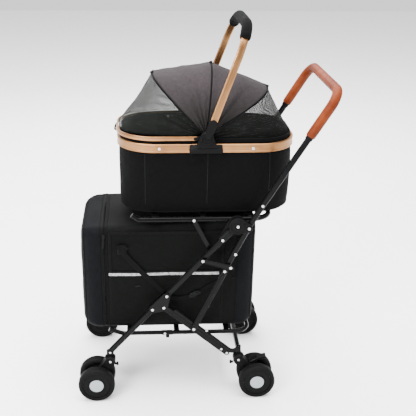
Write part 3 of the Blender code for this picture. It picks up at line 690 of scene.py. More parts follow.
# ---------------------------------------------------------------- small fittings
def rivet_into(shape, place, y, s, radius=0.0036, height=0.0019):
    """A domed rivet head on its washer, standing out of a face at y."""
    profile = [(-0.0006, radius * 1.22), (0.0004, radius * 1.22), (0.0006, radius * 1.08), (0.0006, radius),
               (height * 0.55, radius * 0.92), (height * 0.85, radius * 0.68), (height, radius * 0.36),
               (height * 0.98, radius * 0.2), (height * 0.8, radius * 0.12), (height * 0.78, 0.0001)]
    shape.turned(at_y(place, y), profile, 20, sense=s)


def screw_into(shape, place, y, s, radius=0.0042):
    """A pan-head screw with a cross recess."""
    profile = [(-0.0006, radius), (0.0008, radius), (0.0016, radius * 0.85), (0.002, radius * 0.55),
               (0.002, radius * 0.34), (0.0011, radius * 0.24), (0.0011, 0.0001)]
    shape.turned(at_y(place, y), profile, 18, sense=s)


def rivets(name, body, heads):
    """One piece of rivet heads; heads holds (x, z), |y| and optional radius, on both sides."""
    for side, s in SIDES:
        shape = Shape()
        for place, y, *rest in heads:
            rivet_into(shape, place, s * y, s, *rest)
        on = body if isinstance(body, str) else body[side]
        shape.build(f"{name}_{side}", "rivet", on)


def bevelled(node, look, width=0.0008):
    """A CAD node that keeps its shape, with eased edges and a finished material."""
    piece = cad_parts[node]
    modifier = piece.modifiers.new("eased_edges", "BEVEL")
    modifier.width = width
    modifier.segments = 2
    modifier.limit_method = "ANGLE"
    modifier.angle_limit = math.radians(38.0)
    repaint(piece, look)


def repaint(piece, look):
    piece.material_slots[0].link = "OBJECT"
    piece.material_slots[0].material = LOOKS[look].material


# ---------------------------------------------------------------- frame
LEG_PROFILE = oval(TUBE_WIDE, TUBE_THICK, 32, 2.7, 0.1)


def front_legs():
    slope = (Vector(BRACKET_TOP) - Vector(HINGE)).normalized()
    start = Vector(HINGE) + slope * 0.0225
    bend = (FRONT_STEM[0], HINGE[1] + slope.y / slope.x * (FRONT_STEM[0] - HINGE[0]))
    for side, s in SIDES:
        y = s * FRAME_Y
        path = rounded_path(along_y(y, start, bend, FRONT_STEM), [0.03], 14)
        shape = Shape().sweep(fine(path, 0.03), LEG_PROFILE)
        shape.build("front_leg_tube_" + side, "steel",
                    cad="front_leg_" + side)
        sleeve = Shape()
        knee = Vector(BRACKET_TOP) + slope * 0.022
        sleeve.sweep(along_y(y, knee, knee + slope * 0.03), oval(0.0215, 0.0165, 28, 2.7))
        ankle = (FRONT_STEM[0], FRONT_STEM[1] + 0.004)
        sleeve.sweep([at_y(ankle, y), at_y((ankle[0], ankle[1] + 0.014), y)], oval(0.0225, 0.0172, 28, 2.6))
        sleeve.build("front_leg_sleeves_" + side, "plastic")


def fold_hinges():
    """Round ribbed castings of the fold hinge, with their rivets."""
    face = OUTER_FACE
    for side, s in SIDES:
        cover = Shape()
        cover.plate(hull([(*HINGE, 0.0268), (*HANDLE_RIVET, 0.0122)]), s * face, s * (face + 0.0072), 0.0014)
        cover.plate(hull([(*HINGE, 0.02), (*HANDLE_RIVET, 0.0085)]), s * (face + 0.0068),
                    s * (face + 0.0086), 0.001)
        for turn in range(20):
            angle = math.tau * turn / 20
            inner = (HINGE[0] + 0.0212 * math.cos(angle), HINGE[1] + 0.0212 * math.sin(angle))
            outer = (HINGE[0] + 0.0258 * math.cos(angle), HINGE[1] + 0.0258 * math.sin(angle))
            if abs((angle - math.radians(191)) % math.tau) > 0.5:
                cover.plate(hull([(*inner, 0.0016), (*outer, 0.001)], 10), s * (face + 0.006),
                            s * (face + 0.0086), 0.0005)
        cover.turned(at_y(HINGE, s * face), mm((6, 14), (9.8, 13.4), (10.4, 12.2), (10.4, 9.2), (9.2, 8.4),
                                               (9.2, 0.1)), 32, sense=s)
        cover.turned(at_y(HINGE, s * (FRAME_Y - 0.006)), [(0.0, 0.021), (0.0138, 0.021)], 36, sense=s)
        cover.build("hinge_casting_" + side, "plastic", "push_handle",
                    cad="hinge_cover_" + side)
        bevelled("hinge_plate_" + side, "plastic", 0.0014)
        collar = Shape()
        slope = (Vector(FRONT_LEG_RIVET) - Vector(HINGE)).normalized()
        ring = Vector(HINGE) + slope * 0.033
        collar.sweep(along_y(s * FRAME_Y, ring, ring + slope * 0.038),
                     oval(0.0232, 0.017, 28, 2.8))
        collar.build("hinge_collar_" + side, "plastic")
    rivets("hinge_rivets", "push_handle", [(HINGE, OUTER_FACE + 0.0092), (HANDLE_RIVET, OUTER_FACE + 0.0086)])
    rivets("leg_rivets", "chassis", [(FRONT_LEG_RIVET, FRAME_Y + 0.0084), (BRACKET_TOP, 0.2104),
                                     (BRACKET_LOW, 0.2104), ((0.3, 0.163), FRAME_Y + 0.0082, 0.003)])
    rivets("leg_pivot_rivets", "rear_legs", [(REAR_LEG_PIVOT, 0.2104)])


def brackets_and_bars():
    for side, s in SIDES:
        bevelled("leg_bracket_" + side, "steel", 0.0007)
        y = s * OUTER_FACE
        brace = Shape()
        ends = [Vector(ARM_END), Vector(BRACE_END)]
        along = (ends[1] - ends[0]).normalized()
        brace.plate(hull([(*ARM_END, 0.0092), (*BRACE_END, 0.0092)]), y, y + s * 0.0048, 0.0012)
        low, high = ends[0] + along * 0.016, ends[1] - along * 0.016
        brace.plate(hull([(*low, 0.0042), (*high, 0.0042)]), y + s * 0.0044, y + s * 0.006, 0.001)
        brace.build("lower_brace_bar_" + side, "steel", "lower_brace_" + side,
                    cad="lower_brace_" + side)
        latch = Shape()
        out = y + s * 0.0054
        latch.plate(hull([(*LATCH_PIVOT, 0.0068), (*LATCH_PIN, 0.0095)]), out, out + s * 0.0026, 0.0007)
        rise = (Vector(LATCH_PIN) - Vector(LATCH_PIVOT)).normalized()
        edge = Vector((-rise.y, rise.x))
        for sign in (-1.0, 1.0):
            run = [Vector(LATCH_PIVOT) + rise * 0.01 + edge * sign * 0.005,
                   Vector(LATCH_PIN) - rise * 0.008 + edge * sign * 0.0072]
            latch.sweep([at_y(p, out + s * 0.0026) for p in run], oval(0.002, 0.0016, 10))
        latch.turned(at_y(LATCH_PIVOT, y), [(0.0, 0.0056), (0.006, 0.0056)], 24, sense=s)
        latch.build("latch_hook_" + side, "steel", "latch_bar_" + side,
                    cad="latch_bar_" + side)
    on_latch = {side: "latch_bar_" + side for side, _ in SIDES}
    rivets("latch_rivets", on_latch, [(LATCH_PIVOT, 0.216), (LATCH_PIN, 0.216)])
    on_brace = {side: "lower_brace_" + side for side, _ in SIDES}
    rivets("brace_rivets", on_brace, [(ARM_END, 0.2124), (BRACE_END, 0.2124)])


def push_handle():
    grip_way = (Vector(HANDLE_TOP) - Vector(HANDLE_GRIP_START)).normalized()
    for side, s in SIDES:
        y = s * FRAME_Y
        end = Vector(HANDLE_GRIP_START) - grip_way * 0.001
        path = rounded_path([at_y(p, y) for p in (ARM_END, HANDLE_RIVET, HANDLE_BEND, end)], [0.2, 0.3], 10)
        start = path[0] - (path[1] - path[0]).normalized() * 0.007
        Shape().sweep(fine([start] + path[1:], 0.03), LEG_PROFILE).build(
            "push_tube_arm_" + side, "steel", "push_handle", cad="push_tube_" + side)
        cuff = Shape()
        low = Vector(HANDLE_GRIP_START) - grip_way * 0.01
        cuff.sweep(along_y(y, low, low + grip_way * 0.0012, low + grip_way * 0.0094),
                   oval(0.023, 0.0205, 28, 2.3), scales=[0.94, 1.0, 1.0])
        # pin tips by the two rivets of the tube
        for place in ((HANDLE_BEND[0] + 0.004, HANDLE_BEND[1] - 0.006), (-0.102, 0.513)):
            rivet_into(cuff, place, s * (FRAME_Y + 0.007), s, 0.0001, 0.0001)
        cuff.build("grip_cuff_" + side, "plastic", "push_handle")
    rivets("push_tube_rivets", "push_handle",
           [(HANDLE_BEND, FRAME_Y + 0.0064), ((-0.102, 0.513), FRAME_Y + 0.0064)])
    y = FRAME_Y
    corners = [at_y(HANDLE_GRIP_START, y), at_y(HANDLE_TOP, y), at_y(HANDLE_TOP, -y),
               at_y(HANDLE_GRIP_START, -y)]
    path = fine(rounded_path(corners, [0.05, 0.05], 16), 0.008)
    lumps = [1.0 + 0.012 * wave(i * 0.45, 3.1, 0.7) for i in range(len(path))]
    grip = Shape().sweep(path, rod(0.03, 32), scales=[0.93] + lumps[1:-1] + [0.93])
    grip.build("grip_cover", "leather", "push_handle", cad="push_grip")
    seam = Shape()
    rings = swept(path, mm((-15.1, 0), (-14.9, 2.2), (-14.9, -2.2)))
    for row in range(2, len(rings) - 2):
        for column in (1, 2):
            here, there = rings[row][column], rings[row + 1][column]
            seam.sweep([here.lerp(there, 0.15), here.lerp(there, 0.5), here.lerp(there, 0.8)],
                       rod(0.0011, 6), scales=[0.6, 1.0, 0.6])
    seam.build("grip_stitching", "tan_thread", "push_handle")


def rear_legs():
    along = (Vector(REAR_LEG_END) - Vector(REAR_LEG_PIVOT)).normalized()
    over = Vector((along.y, -along.x))
    for side, s in SIDES:
        y = s * FRAME_Y
        channel = Shape()
        outline = hull([(*REAR_LEG_PIVOT, 0.0096), (*REAR_LEG_END, 0.0086)])
        channel.plate(outline, y - 0.0068, y + 0.0068, 0.0014)
        for sign in (-1.0, 0.0, 1.0):
            for face in (1.0, -1.0):
                run = [Vector(REAR_LEG_PIVOT) + along * 0.022 - over * (0.0052 * sign),
                       Vector(REAR_LEG_END) - along * 0.022 - over * (0.0046 * sign)]
                channel.sweep([at_y(p, y + face * 0.0068) for p in run], oval(0.0024, 0.0018, 10))
        start = Vector(REAR_LEG_PIVOT) + along * 0.034 + over * 0.0115
        slope = along.y / along.x
        corner = (REAR_STEM[0], start.y + slope * (REAR_STEM[0] - start.x))
        path = rounded_path(along_y(y, start, corner, REAR_STEM), [0.02], 12)
        channel.sweep(fine(path, 0.03), oval(0.0155, 0.0118, 28, 2.4, 0.06))
        channel.build("rear_leg_channel_" + side, "steel", "rear_legs",
                      cad="rear_leg_" + side)
    repaint(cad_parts["rear_crossbar"], "steel")
    rivets("rear_leg_rivets", "rear_legs", [((-0.017, 0.239), FRAME_Y + 0.0066, 0.0032),
                                            ((-0.067, 0.167), FRAME_Y + 0.0066, 0.0034),
                                            ((-0.086, 0.151), FRAME_Y + 0.0066, 0.0034)])


def racks():
    """Tube loops with crimped sleeves, flat cross bars and struts."""
    tip = 0.016
    front, rear, y, z = 0.212, -0.212, 0.1765, 0.623
    half = [(front + 0.01, y, z + tip), (front - 0.01, y, z), (rear, y, z)]
    path = rounded_path(half + [(a, -b, c) for a, b, c in half[::-1]], [0.02, 0.06, 0.06, 0.02], 10)
    top = Shape().sweep(fine(path, 0.04), rod(0.017, 22))
    for x in (0.15, 0.0, -0.15):
        top.box((x - 0.01, -y, z + 0.001), (x + 0.01, y, z + 0.009), 0.0012)
    for _, s in SIDES:
        strut = hull([(0.029, z, 0.0072), (-0.02, 0.528, 0.0072)])
        top.plate(strut, s * (y + 0.007), s * (y + 0.0115), 0.001)
        for x in (0.12, 0.137):
            top.sweep([(x, s * y, z), (x + 0.0045, s * y, z)], rod(0.0192, 22))
    top.build("top_rack_frame", "steel", cad="top_rack")
    posts = Shape()
    for _, s in SIDES:
        for x in (-0.135, -0.165):
            posts.box((x - 0.006, s * 0.118, 0.631), (x + 0.006, s * 0.13, 0.6335), 0.0008)
    posts.build("rack_clips", "plastic")
    front, rear, y, z, lift = 0.302, -0.158, 0.178, 0.2185, 0.016
    half = [(front, y, z + lift), (front - 0.045, y, z), (rear, y, z)]
    path = rounded_path(half + [(a, -b, c) for a, b, c in half[::-1]], [0.03, 0.045, 0.045, 0.03], 10)
    low = Shape().sweep(fine(path, 0.04), rod(0.014, 22))
    for x in (0.235, 0.08, -0.085):
        low.box((x - 0.009, -y, z + 0.0005), (x + 0.009, y, z + 0.0066), 0.0012)
    for _, s in SIDES:
        low.sweep([(0.2555, s * y, z), (0.2555, s * 0.1926, z)], rod(0.01, 16), (0, 0, 1))
        low.sweep([(0.094, s * y, z), (0.128, s * y, z)], rod(0.0166, 22))
        low.box((0.104, s * (y - 0.006), z - 0.0175), (0.116, s * (y + 0.006), z - 0.005), 0.0012)
    low.build("lower_rack_frame", "steel", cad="lower_rack")
    rivets("rack_rivets", "chassis", [((0.029, 0.623), 0.188, 0.0036), ((0.119, 0.2185), 0.1862, 0.003)])


# ---------------------------------------------------------------- wheels
def wheel(name, x, y, outward, outer):
    """Ridged tyre and moulded hub; the outer wheel has a silver cap, the inner one open ribs."""
    centre = (x, y, FRONT_AXLE[1])
    half = mm((15, 45.7), (16, 47.4), (16, 49.2), (15.2, 49.7), (15.2, 50.5), (16, 51.1), (15.9, 53.2),
              (15, 53.8), (14.9, 54.6), (15.2, 55.3), (13.5, 58), (10.5, 59.5), (6, 60), (5.4, 58.9),
              (4.4, 58.9), (3.8, 60))
    profile = half + [(-a, r) for a, r in half[::-1]]
    body = name + "_wheel"
    Shape().turned(centre, profile, 80, looped=True).build(
        name + "_tread", "tyre", body, 50.0, cad=name + "_tyre")
    hub = Shape()
    face = mm((13.8, 45.2), (13.8, 44), (11.8, 42.5), (10.6, 40), (10.4, 37.2), (11.6, 36.2), (11.6, 35),
              (10.4, 34), (10.6, 30), (13.6, 29), (15, 27.8), (15, 25.6), (13.6, 24.8), (12.2, 24.6),
              (12, 0.1))
    back = mm((-7.5, 0.1), (-7.5, 5), (-14.2, 5.6), (-14.2, 11), (-12, 13.5), (-6, 15), (-5.5, 36),
              (-11, 39.5), (-13.8, 41), (-13.8, 45.2))
    hub.turned(centre, face + back, 64, sense=outward)
    for rib in range(8):
        turn = math.tau * rib / 8
        a = (x + 0.0125 * math.cos(turn), centre[2] + 0.0125 * math.sin(turn))
        b = (x + 0.0385 * math.cos(turn), centre[2] + 0.0385 * math.sin(turn))
        hub.plate(hull([(*a, 0.0011), (*b, 0.0011)], 8), y - outward * 0.005, y - outward * 0.0118, 0.0004)
    hub.build(name + "_core", "hub", body, 45.0, cad=name + "_hub")
    cap = Shape()
    cap.turned(centre, mm((11.8, 23.2), (13.6, 23.2), (14.2, 22.6), (14.8, 19.5), (15.1, 12),
                          (15.2, 0.1)), 48, sense=outward)
    cap.build(name + "_cap", "cap" if outer else "hub", body, 50.0)


def casters():
    for side, s in SIDES:
        y = s * FRAME_Y
        for end, stem, axle in (("front", FRONT_STEM, FRONT_AXLE), ("rear", REAR_STEM, REAR_AXLE)):
            body = "front_caster_" + side if end == "front" else "rear_legs"
            node = ("front_caster_" if end == "front" else "rear_wheel_mount_") + side
            bevelled(node, "plastic", 0.0022)
            for place, wheel_y, sense in (("outer", OUTER_WHEEL_Y, 1.0), ("inner", INNER_WHEEL_Y, -1.0)):
                wheel(f"{end}_{side}_{place}", axle[0], s * wheel_y, s * sense, place == "outer")
            trim = Shape()
            top = stem[1] - 0.001
            trim.turned((stem[0], y, top - 0.012),
                        mm((0, 15), (0, 17.2), (4, 17.8), (9, 17.2), (11, 15), (11.2, 11)), 36, axis="Z")
            knob_x = stem[0] - 0.0185 if end == "front" else stem[0] + 0.02
            knob_z = stem[1] - 0.034
            sense = -1.0 if end == "front" else 1.0
            trim.turned((knob_x, y, knob_z),
                        mm((-4, 4), (1, 4), (2, 6.2), (6.5, 6.2), (8, 5),
                           (8.3, 0.1)), 24, axis="X", sense=sense)
            for _, t in SIDES:
                web = hull([(stem[0] + (axle[0] - stem[0]) * 0.3, stem[1] - 0.04, 0.006),
                            (stem[0] + (axle[0] - stem[0]) * 0.75, axle[1] + 0.012, 0.006)])
                trim.plate(web, y + t * 0.0145, y + t * 0.0166, 0.0008)
            trim.build(f"{end}_mount_trim_{side}", "gloss_plastic", body)
            bolts = Shape()
            for _, t in SIDES:
                screw_into(bolts, (stem[0], stem[1] - 0.0185), y + t * 0.015, t)
            bolts.build(f"{end}_mount_screws_{side}", "rivet", body)
        pedal = Shape()
        px, pz = REAR_AXLE[0] + 0.017, REAR_AXLE[1] + 0.056
        outline = hull([(px, pz, 0.0056), (px - 0.022, pz + 0.013, 0.0046)])
        pedal.plate(outline, y - 0.012, y + 0.012, 0.0016)
        pedal.plate(hull([(px - 0.02, pz + 0.0125, 0.0042), (px - 0.046, pz + 0.019, 0.0031)]), y - 0.013,
                    y + 0.013, 0.0012)
        for step in range(4):
            rib_x = px - 0.026 - 0.0055 * step
            rib_z = pz + 0.0178 + 0.0014 * step
            run = [(rib_x, y - 0.01, rib_z), (rib_x, y + 0.01, rib_z)]
            pedal.sweep(run, oval(0.0022, 0.0018, 8), (0, 0, 1))
        pedal.build("brake_pedal_lever_" + side, "gloss_plastic", "brake_pedal_" + side,
                    cad="brake_pedal_" + side)


# ---------------------------------------------------------------- pet carrier
WALL_SEAMS = (0.0, -0.205, 0.18)


def carrier_body():
    """Sewn tub: sides that give a little between the rim and the floor, with centre seams."""
    def wall(inset, z, loose=0.0):
        ring = []
        for x, y in plan(inset):
            out = 0.0
            if loose:
                part = (z - BODY_BOTTOM) / 0.2
                belly = math.sin(math.pi * min(max(part, 0.0), 1.0))
                fold = wave(x * 9.0 + y * 5.0, z * 3.0, 4.0) + 0.5 * wave(x * 24.0, z * 7.0 + y * 20.0, 9.0)
                out = loose * belly * (0.0026 + 0.004 * fold)
                for seam_x in WALL_SEAMS:
                    out -= 0.0026 * math.exp(-((x - seam_x) / 0.004) ** 2)
                ruck = math.exp(-((x - 0.03) / 0.075) ** 2) * math.exp(-((part - 0.95) / 0.32) ** 2)
                out += 0.0036 * ruck * math.sin((x - z * 0.6) * 150.0)
            away = Vector((x - CARRIER_X, y, 0.0))
            flat = Vector((away.x / (RIM_LENGTH / 2), away.y / RIM_HALF_WIDTH, 0.0)).normalized()
            ring.append((x + flat.x * out, y + flat.y * out, z))
        return ring

    low, high = BODY_BOTTOM, RIM_TOP - RIM_HIGH - 0.0004
    rings = [wall(0.06, low + 0.0003), wall(0.018, low + 0.0003), wall(0.0122, low + 0.0012),
             wall(0.0088, low + 0.004), wall(0.007, low + 0.009), wall(0.0064, low + 0.019, 0.4)]
    sides = [wall(0.0062, low + 0.032 + (high - low - 0.034) * step / 14, 1.0) for step in range(15)]
    rings += sides + [wall(0.0064, high), wall(0.0092, high + 0.0004), wall(0.0094, RIM_TOP - 0.002),
              wall(0.0096, RIM_TOP + 0.01), wall(0.0108, RIM_TOP + 0.0125),
              wall(0.0126, RIM_TOP + 0.011), wall(0.0128, RIM_TOP - 0.004)]
    for step in range(8):
        rings.append(wall(0.0118, high - 0.004 - (high - low - 0.036) * step / 7, 0.35))
    rings += [wall(0.02, low + 0.013), wall(0.038, low + 0.0056), wall(0.06, low + 0.0056)]
    shape = Shape().rings(rings)
    shape.build("carrier_tub", "carrier", "carrier", 180.0, cad="carrier_body")
    trim = Shape()
    for inset, z, radius in ((0.0078, low + 0.007, 0.0017), (0.0112, RIM_TOP + 0.0128, 0.0016)):
        trim.sweep([(x, y, z) for x, y in plan(inset)], rod(2 * radius, 8), (0, 0, 1), looped=True)
    trim.build("carrier_piping", "piping", "carrier", slot="carrier_fabric")
    seams = Shape()
    for _, s in SIDES:
        for seam_x in WALL_SEAMS:
            run = []
            for ring in sides:
                x, y, z = min((p for p in ring if p[1] * s > 0), key=lambda p: abs(p[0] - seam_x))
                run.append(Vector((x, y + s * 0.0002, z)))
            seams.sweep(run, rod(0.0016, 8))
    seams.build("carrier_seams", "seam", "carrier")


def carrier_rim():
    """Extruded aluminium band with two raised edges and a shallow channel between them."""
    z0, z1 = RIM_TOP - RIM_HIGH, RIM_TOP
    section = [(0.0006, z0), (0.0, z0 + 0.0006), (0.0, z0 + 0.0052), (0.0008, z0 + 0.0062),
               (0.0008, z1 - 0.0078), (0.0, z1 - 0.0068), (0.0, z1 - 0.0016), (0.0014, z1), (0.0068, z1),
               (0.0084, z1 - 0.0012), (0.0084, z0 + 0.001), (0.0074, z0)]
    plans = [plan(inset, 14) for inset, _ in section]
    rings = [[(*plans[k][i], section[k][1]) for k in range(len(section))] for i in range(len(plans[0]))]
    Shape().rings(rings, looped=True).build("rim_band", "gold", "carrier", 30.0,
                                            cad="carrier_rim")
    screws = Shape()
    for _, s in SIDES:
        for x in (-0.15, 0.135):
            screw_into(screws, (x, RIM_TOP - 0.0145), s * (RIM_HALF_WIDTH - 0.0004), s, 0.0046)
    screws.build("rim_screws", "rivet", "carrier", slot="gold_aluminium")


def pivot_blocks():
    """Moulded blocks on the rim that carry the bows and the handle."""
    for side, s in SIDES:
        inner = RIM_HALF_WIDTH + 0.0004
        block = Shape()
        base = hull([(-0.052, RIM_TOP - 0.022, 0.005), (0.04, RIM_TOP - 0.022, 0.005),
                     (-0.052, RIM_TOP - 0.003, 0.003), (0.04, RIM_TOP - 0.003, 0.003)])
        block.plate(base, s * inner, s * (inner + 0.01), 0.0016)
        hump = hull([(*PIVOT, 0.0182), (-0.034, RIM_TOP - 0.004, 0.004), (0.02, RIM_TOP - 0.004, 0.004)])
        block.plate(hump, s * inner, s * (inner + 0.0146), 0.0016)
        lip = hull([(-0.046, RIM_TOP - 0.0125, 0.0012), (0.034, RIM_TOP - 0.0125, 0.0012)])
        block.plate(lip, s * (inner + 0.0092), s * (inner + 0.0116), 0.0006)
        block.build("pivot_housing_" + side, "plastic", "carrier", cad="pivot_block_" + side)


def carrier_pad():
    """Stuffed floor cushion, swollen by a cloth simulation and piped round its edge."""
    low = BODY_BOTTOM + 0.0058
    rings = []
    for inset, up in ((0.052, 0.0), (0.05, 0.0035), (0.049, 0.0065), (0.051, 0.0095)):
        rings.append([(x, y, low + up + 0.0008) for x, y in plan(inset)])
    pad = Shape().rings(rings).build("floor_cushion", "pad", None, 180.0)
    swell(pad, 0.005, 4.0, 0.0045)
    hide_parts("carrier_pad")
    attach(pad, "carrier")
    piping = Shape()
    path = [(x, y, low + 0.0062) for x, y in plan(0.0475)]
    piping.sweep(path, rod(0.0036, 8), (0, 0, 1), looped=True)
    piping.build("cushion_piping", "piping", "carrier", slot="pad_fabric")


def swell(piece, voxel, pressure, cap):
    """Cloth pressure on a remeshed copy; no point moves further than cap from its start."""
    remesh = piece.modifiers.new("remesh", "REMESH")
    remesh.mode = "VOXEL"
    remesh.voxel_size = voxel
    applied(piece)
    start = np.array([v.co for v in piece.data.vertices])
    cloth = piece.modifiers.new("cloth", "CLOTH")
    cloth.settings.use_pressure = True
    cloth.settings.uniform_pressure_force = pressure
    cloth.settings.effector_weights.gravity = 0.0
    scene = bpy.context.scene
    for step in range(1, 21):
        scene.frame_set(step)
    shown = piece.evaluated_get(bpy.context.evaluated_depsgraph_get())
    moved = np.array([v.co for v in shown.data.vertices]) - start
    piece.modifiers.clear()
    scene.frame_set(1)
    length = np.linalg.norm(moved, axis=1, keepdims=True)
    moved *= np.minimum(1.0, cap / np.maximum(length, 1e-9))
    floor = BODY_BOTTOM + 0.006
    final = start + moved
    final[:, 2] = np.maximum(final[:, 2], floor)
    piece.data.vertices.foreach_set("co", final.astype(np.float32).ravel())
    piece.data.shade_smooth()
    smoothing = piece.modifiers.new("subdivision", "SUBSURF")
    smoothing.levels = smoothing.render_levels = 1


# ---------------------------------------------------------------- canopy
def bow_shape(reach, half_width, square, part):
    turn = math.pi * part
    power = 2.0 / square
    y = half_width * math.copysign(abs(math.cos(turn)) ** power, math.cos(turn))
    return reach * abs(math.sin(turn)) ** power, y


def swung(angle, out, y):
    tilt = math.radians(angle)
    return Vector((PIVOT[0] + out * math.cos(tilt), y, PIVOT[1] + out * math.sin(tilt)))


GORE_ROWS, GORE_COLUMNS = 26, 72
GORE_FROM = 0.012                      # share of a bow, at each end, that the panel leaves free


def gore(start, end, grow, sag, ripple, margin):
    """Points of a curved panel stretched between two bows, sagging and rippling between them."""
    grid = []
    for row in range(GORE_ROWS + 1):
        mix = row / GORE_ROWS
        reach, width, square = (start[i] * (1 - mix) + end[i] * mix for i in (1, 2, 3))
        half_turn = math.radians(abs(end[0] - start[0])) / 2
        hollow = math.cos(half_turn) / math.cos(half_turn * (2 * mix - 1)) - sag * math.sin(math.pi * mix)
        line = []
        for column in range(GORE_COLUMNS + 1):
            part = GORE_FROM + (1 - 2 * GORE_FROM) * column / GORE_COLUMNS
            out, y = bow_shape(reach * hollow + grow, width + grow, square, part)
            side = abs(math.cos(math.pi * part))
            near = math.exp(-out / 0.15)
            rays = math.sin(mix * math.pi * 7.0 + 1.7 * math.copysign(1.0, y)
                            + 1.3 * wave(mix * 3.0, part * 5.0, 6.0))
            crumple = wave(mix * 4.0, part * 7.0, start[0] * 0.1) + 0.6 * wave(mix * 9.0, part * 16.0, 3.0)
            tuck = math.sin(math.pi * mix)
            lift = ripple * tuck * (2.6 * rays * near * side + 1.2 * crumple)
            angle = start[0] + math.degrees(margin[0] / max(out, 0.02)) * (1 - mix)
            angle += (end[0] - math.degrees(margin[1] / max(out, 0.02)) - angle) * mix
            push = Vector((math.cos(math.radians(angle)) * 0.7, math.copysign(0.7, y) * side,
                           math.sin(math.radians(angle)) * 0.7))
            line.append(swung(angle, out, y) + push * lift)
        grid.append(line)
    return grid


def by_angle(piece):
    """Bake a panel's placement into its mesh and work out each point's angle about the bows' axis; the panel
    is not bent.
    """
    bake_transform(piece)
    for vertex in piece.data.vertices:
        x, z = vertex.co.x - PIVOT[0], vertex.co.z - PIVOT[1]
        angle = math.degrees(math.atan2(z, x)) % 360.0
        angle = angle - 360.0 if angle > 270.0 else angle


def cloth_panel(name, grid, look, thickness, cad):
    piece = Shape().rings(grid, closed=False).build(name, look, None, 180.0, cad)
    shell = piece.modifiers.new("cloth_thickness", "SOLIDIFY")
    shell.thickness = thickness
    shell.offset = 0.0
    return applied(piece)


def canopy():
    """Two cloth gores and two nets over three wire bows and the lid bow."""
    lid = (0.0, LID_REACH - 0.006, LID_Y - 0.006, LID_SQUARE)
    back = (180.0, 0.27, 0.14, 3.0)
    panels = (
        ("canopy_cloth_front", FRONT_BOW, MID_BOW, "canopy", ("front_bow", "mid_bow"),
         "canopy_front", 0.001, 0.004, 0.003, (0.001, 0.001)),
        ("canopy_cloth_rear", MID_BOW, REAR_BOW, "canopy", ("mid_bow", "carrier"),
         "canopy_rear", 0.001, 0.004, 0.003, (0.001, 0.001)),
        ("canopy_net_front", lid, FRONT_BOW, "net", ("lid_bow", "front_bow"),
         "net_front", 0.0004, 0.03, 0.002, (0.0, 0.001)),
        ("canopy_net_rear", REAR_BOW, back, "net", ("carrier", None),
         "net_rear", 0.0004, 0.018, 0.0016, (0.001, -0.016)),
    )
    for name, start, end, look, bodies, node, thick, sag, ripple, margin in panels:
        grid = gore(start, end, 0.0012, sag, ripple, margin)
        piece = cloth_panel(name, grid, look, thick, node)
        bow = bodies[0] if bodies[0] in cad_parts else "rear_bow"
        if bodies[1]:
            by_angle(piece)
        else:
            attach(piece, bodies[0])
    for name, bow, body, radius in (("front", FRONT_BOW, "front_bow", 0.0034),
                                    ("mid", MID_BOW, "mid_bow", 0.003),
                                    ("rear", REAR_BOW, "carrier", 0.0034)):
        piping = Shape()
        path = [swung(bow[0], *bow_shape(*bow[1:], 0.055 + 0.89 * k / GORE_COLUMNS))
                for k in range(GORE_COLUMNS + 1)]
        piping.sweep(path, rod(2 * radius, 12))
        top = swung(bow[0], bow[1] + 0.003, 0.0)
        for step in (-1, 1):
            centre = swung(bow[0], *bow_shape(*bow[1:], 0.5 + step * 0.008))
            piping.sweep([centre - Vector((0, 0.004, 0)), centre, centre + Vector((0, 0.004, 0))],
                         oval(0.0096, 0.011, 14), (0, 0, 1), scales=[0.85, 1.0, 0.85])
        piping.turned((top.x, 0.0, top.z - 0.002), mm((0, 5.2), (4, 4.8), (5.6, 3), (6, 0.1)), 20, axis="Z")
        piping.build(f"{name}_bow_piping", "piping", body, 180.0, slot="canopy_fabric")
        repaint(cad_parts[f"{name}_bow"], "steel")


def lid_bow():
    front = PIVOT[0] + LID_REACH
    z = PIVOT[1] - 0.007
    run = [(PIVOT[0] + 0.03, LID_Y, z), (front, LID_Y, z), (front, -LID_Y, z), (PIVOT[0] + 0.03, -LID_Y, z)]
    path = fine(rounded_path(run, [RIM_CORNER_R, RIM_CORNER_R], 20), 0.03)
    Shape().sweep(path, soft_box(0.0048, 0.013, 0.0015), (0, 0, 1)).build(
        "lid_bow_band", "gold", "lid_bow", 30.0, cad="lid_bow")
    inset = 0.0105
    shares = [0.04 + 0.92 * k / GORE_COLUMNS for k in range(GORE_COLUMNS + 1)]
    hem = [swung(0.0, *bow_shape(LID_REACH - inset, LID_Y - inset, LID_SQUARE, share)) for share in shares]
    binding = Shape()
    binding.sweep([p + Vector((0, 0, 0.002)) for p in hem if p.y < 0.05], oval(0.005, 0.0034, 10), (0, 0, 1))
    binding.build("lid_binding", "white", "lid_bow")
    snap = Shape()
    snap.turned((PIVOT[0] + 0.105, inset - LID_Y, z - 0.012),
                mm((0, 4.2), (1.4, 4), (2.2, 0.1)), 20)
    snap.build("lid_snap_stud", "rivet", "lid_bow", slot="black_plastic")
    ends = Shape()
    for _, s in SIDES:
        outline = hull([(PIVOT[0] + 0.034, z, 0.006), (PIVOT[0] - 0.004, z + 0.001, 0.006)])
        ends.plate(outline, s * (LID_Y - 0.003), s * (LID_Y + 0.0026), 0.0008)
    ends.build("lid_bow_ends", "plastic", "lid_bow")
    hook = Shape()
    hook.box((front - 0.001, -0.011, z - 0.0045), (front + 0.0035, 0.011, z + 0.005), 0.001)
    hook.plate(hull([(front + 0.004, z + 0.001, 0.0028), (front + 0.0085, z - 0.011, 0.002)]), -0.007, 0.007)
    hook.plate(hull([(front + 0.0085, z - 0.011, 0.002), (front + 0.0045, z - 0.015, 0.0016)]), -0.007, 0.007)
    hook.build("lid_latch_hook", "gloss_plastic", "lid_bow")


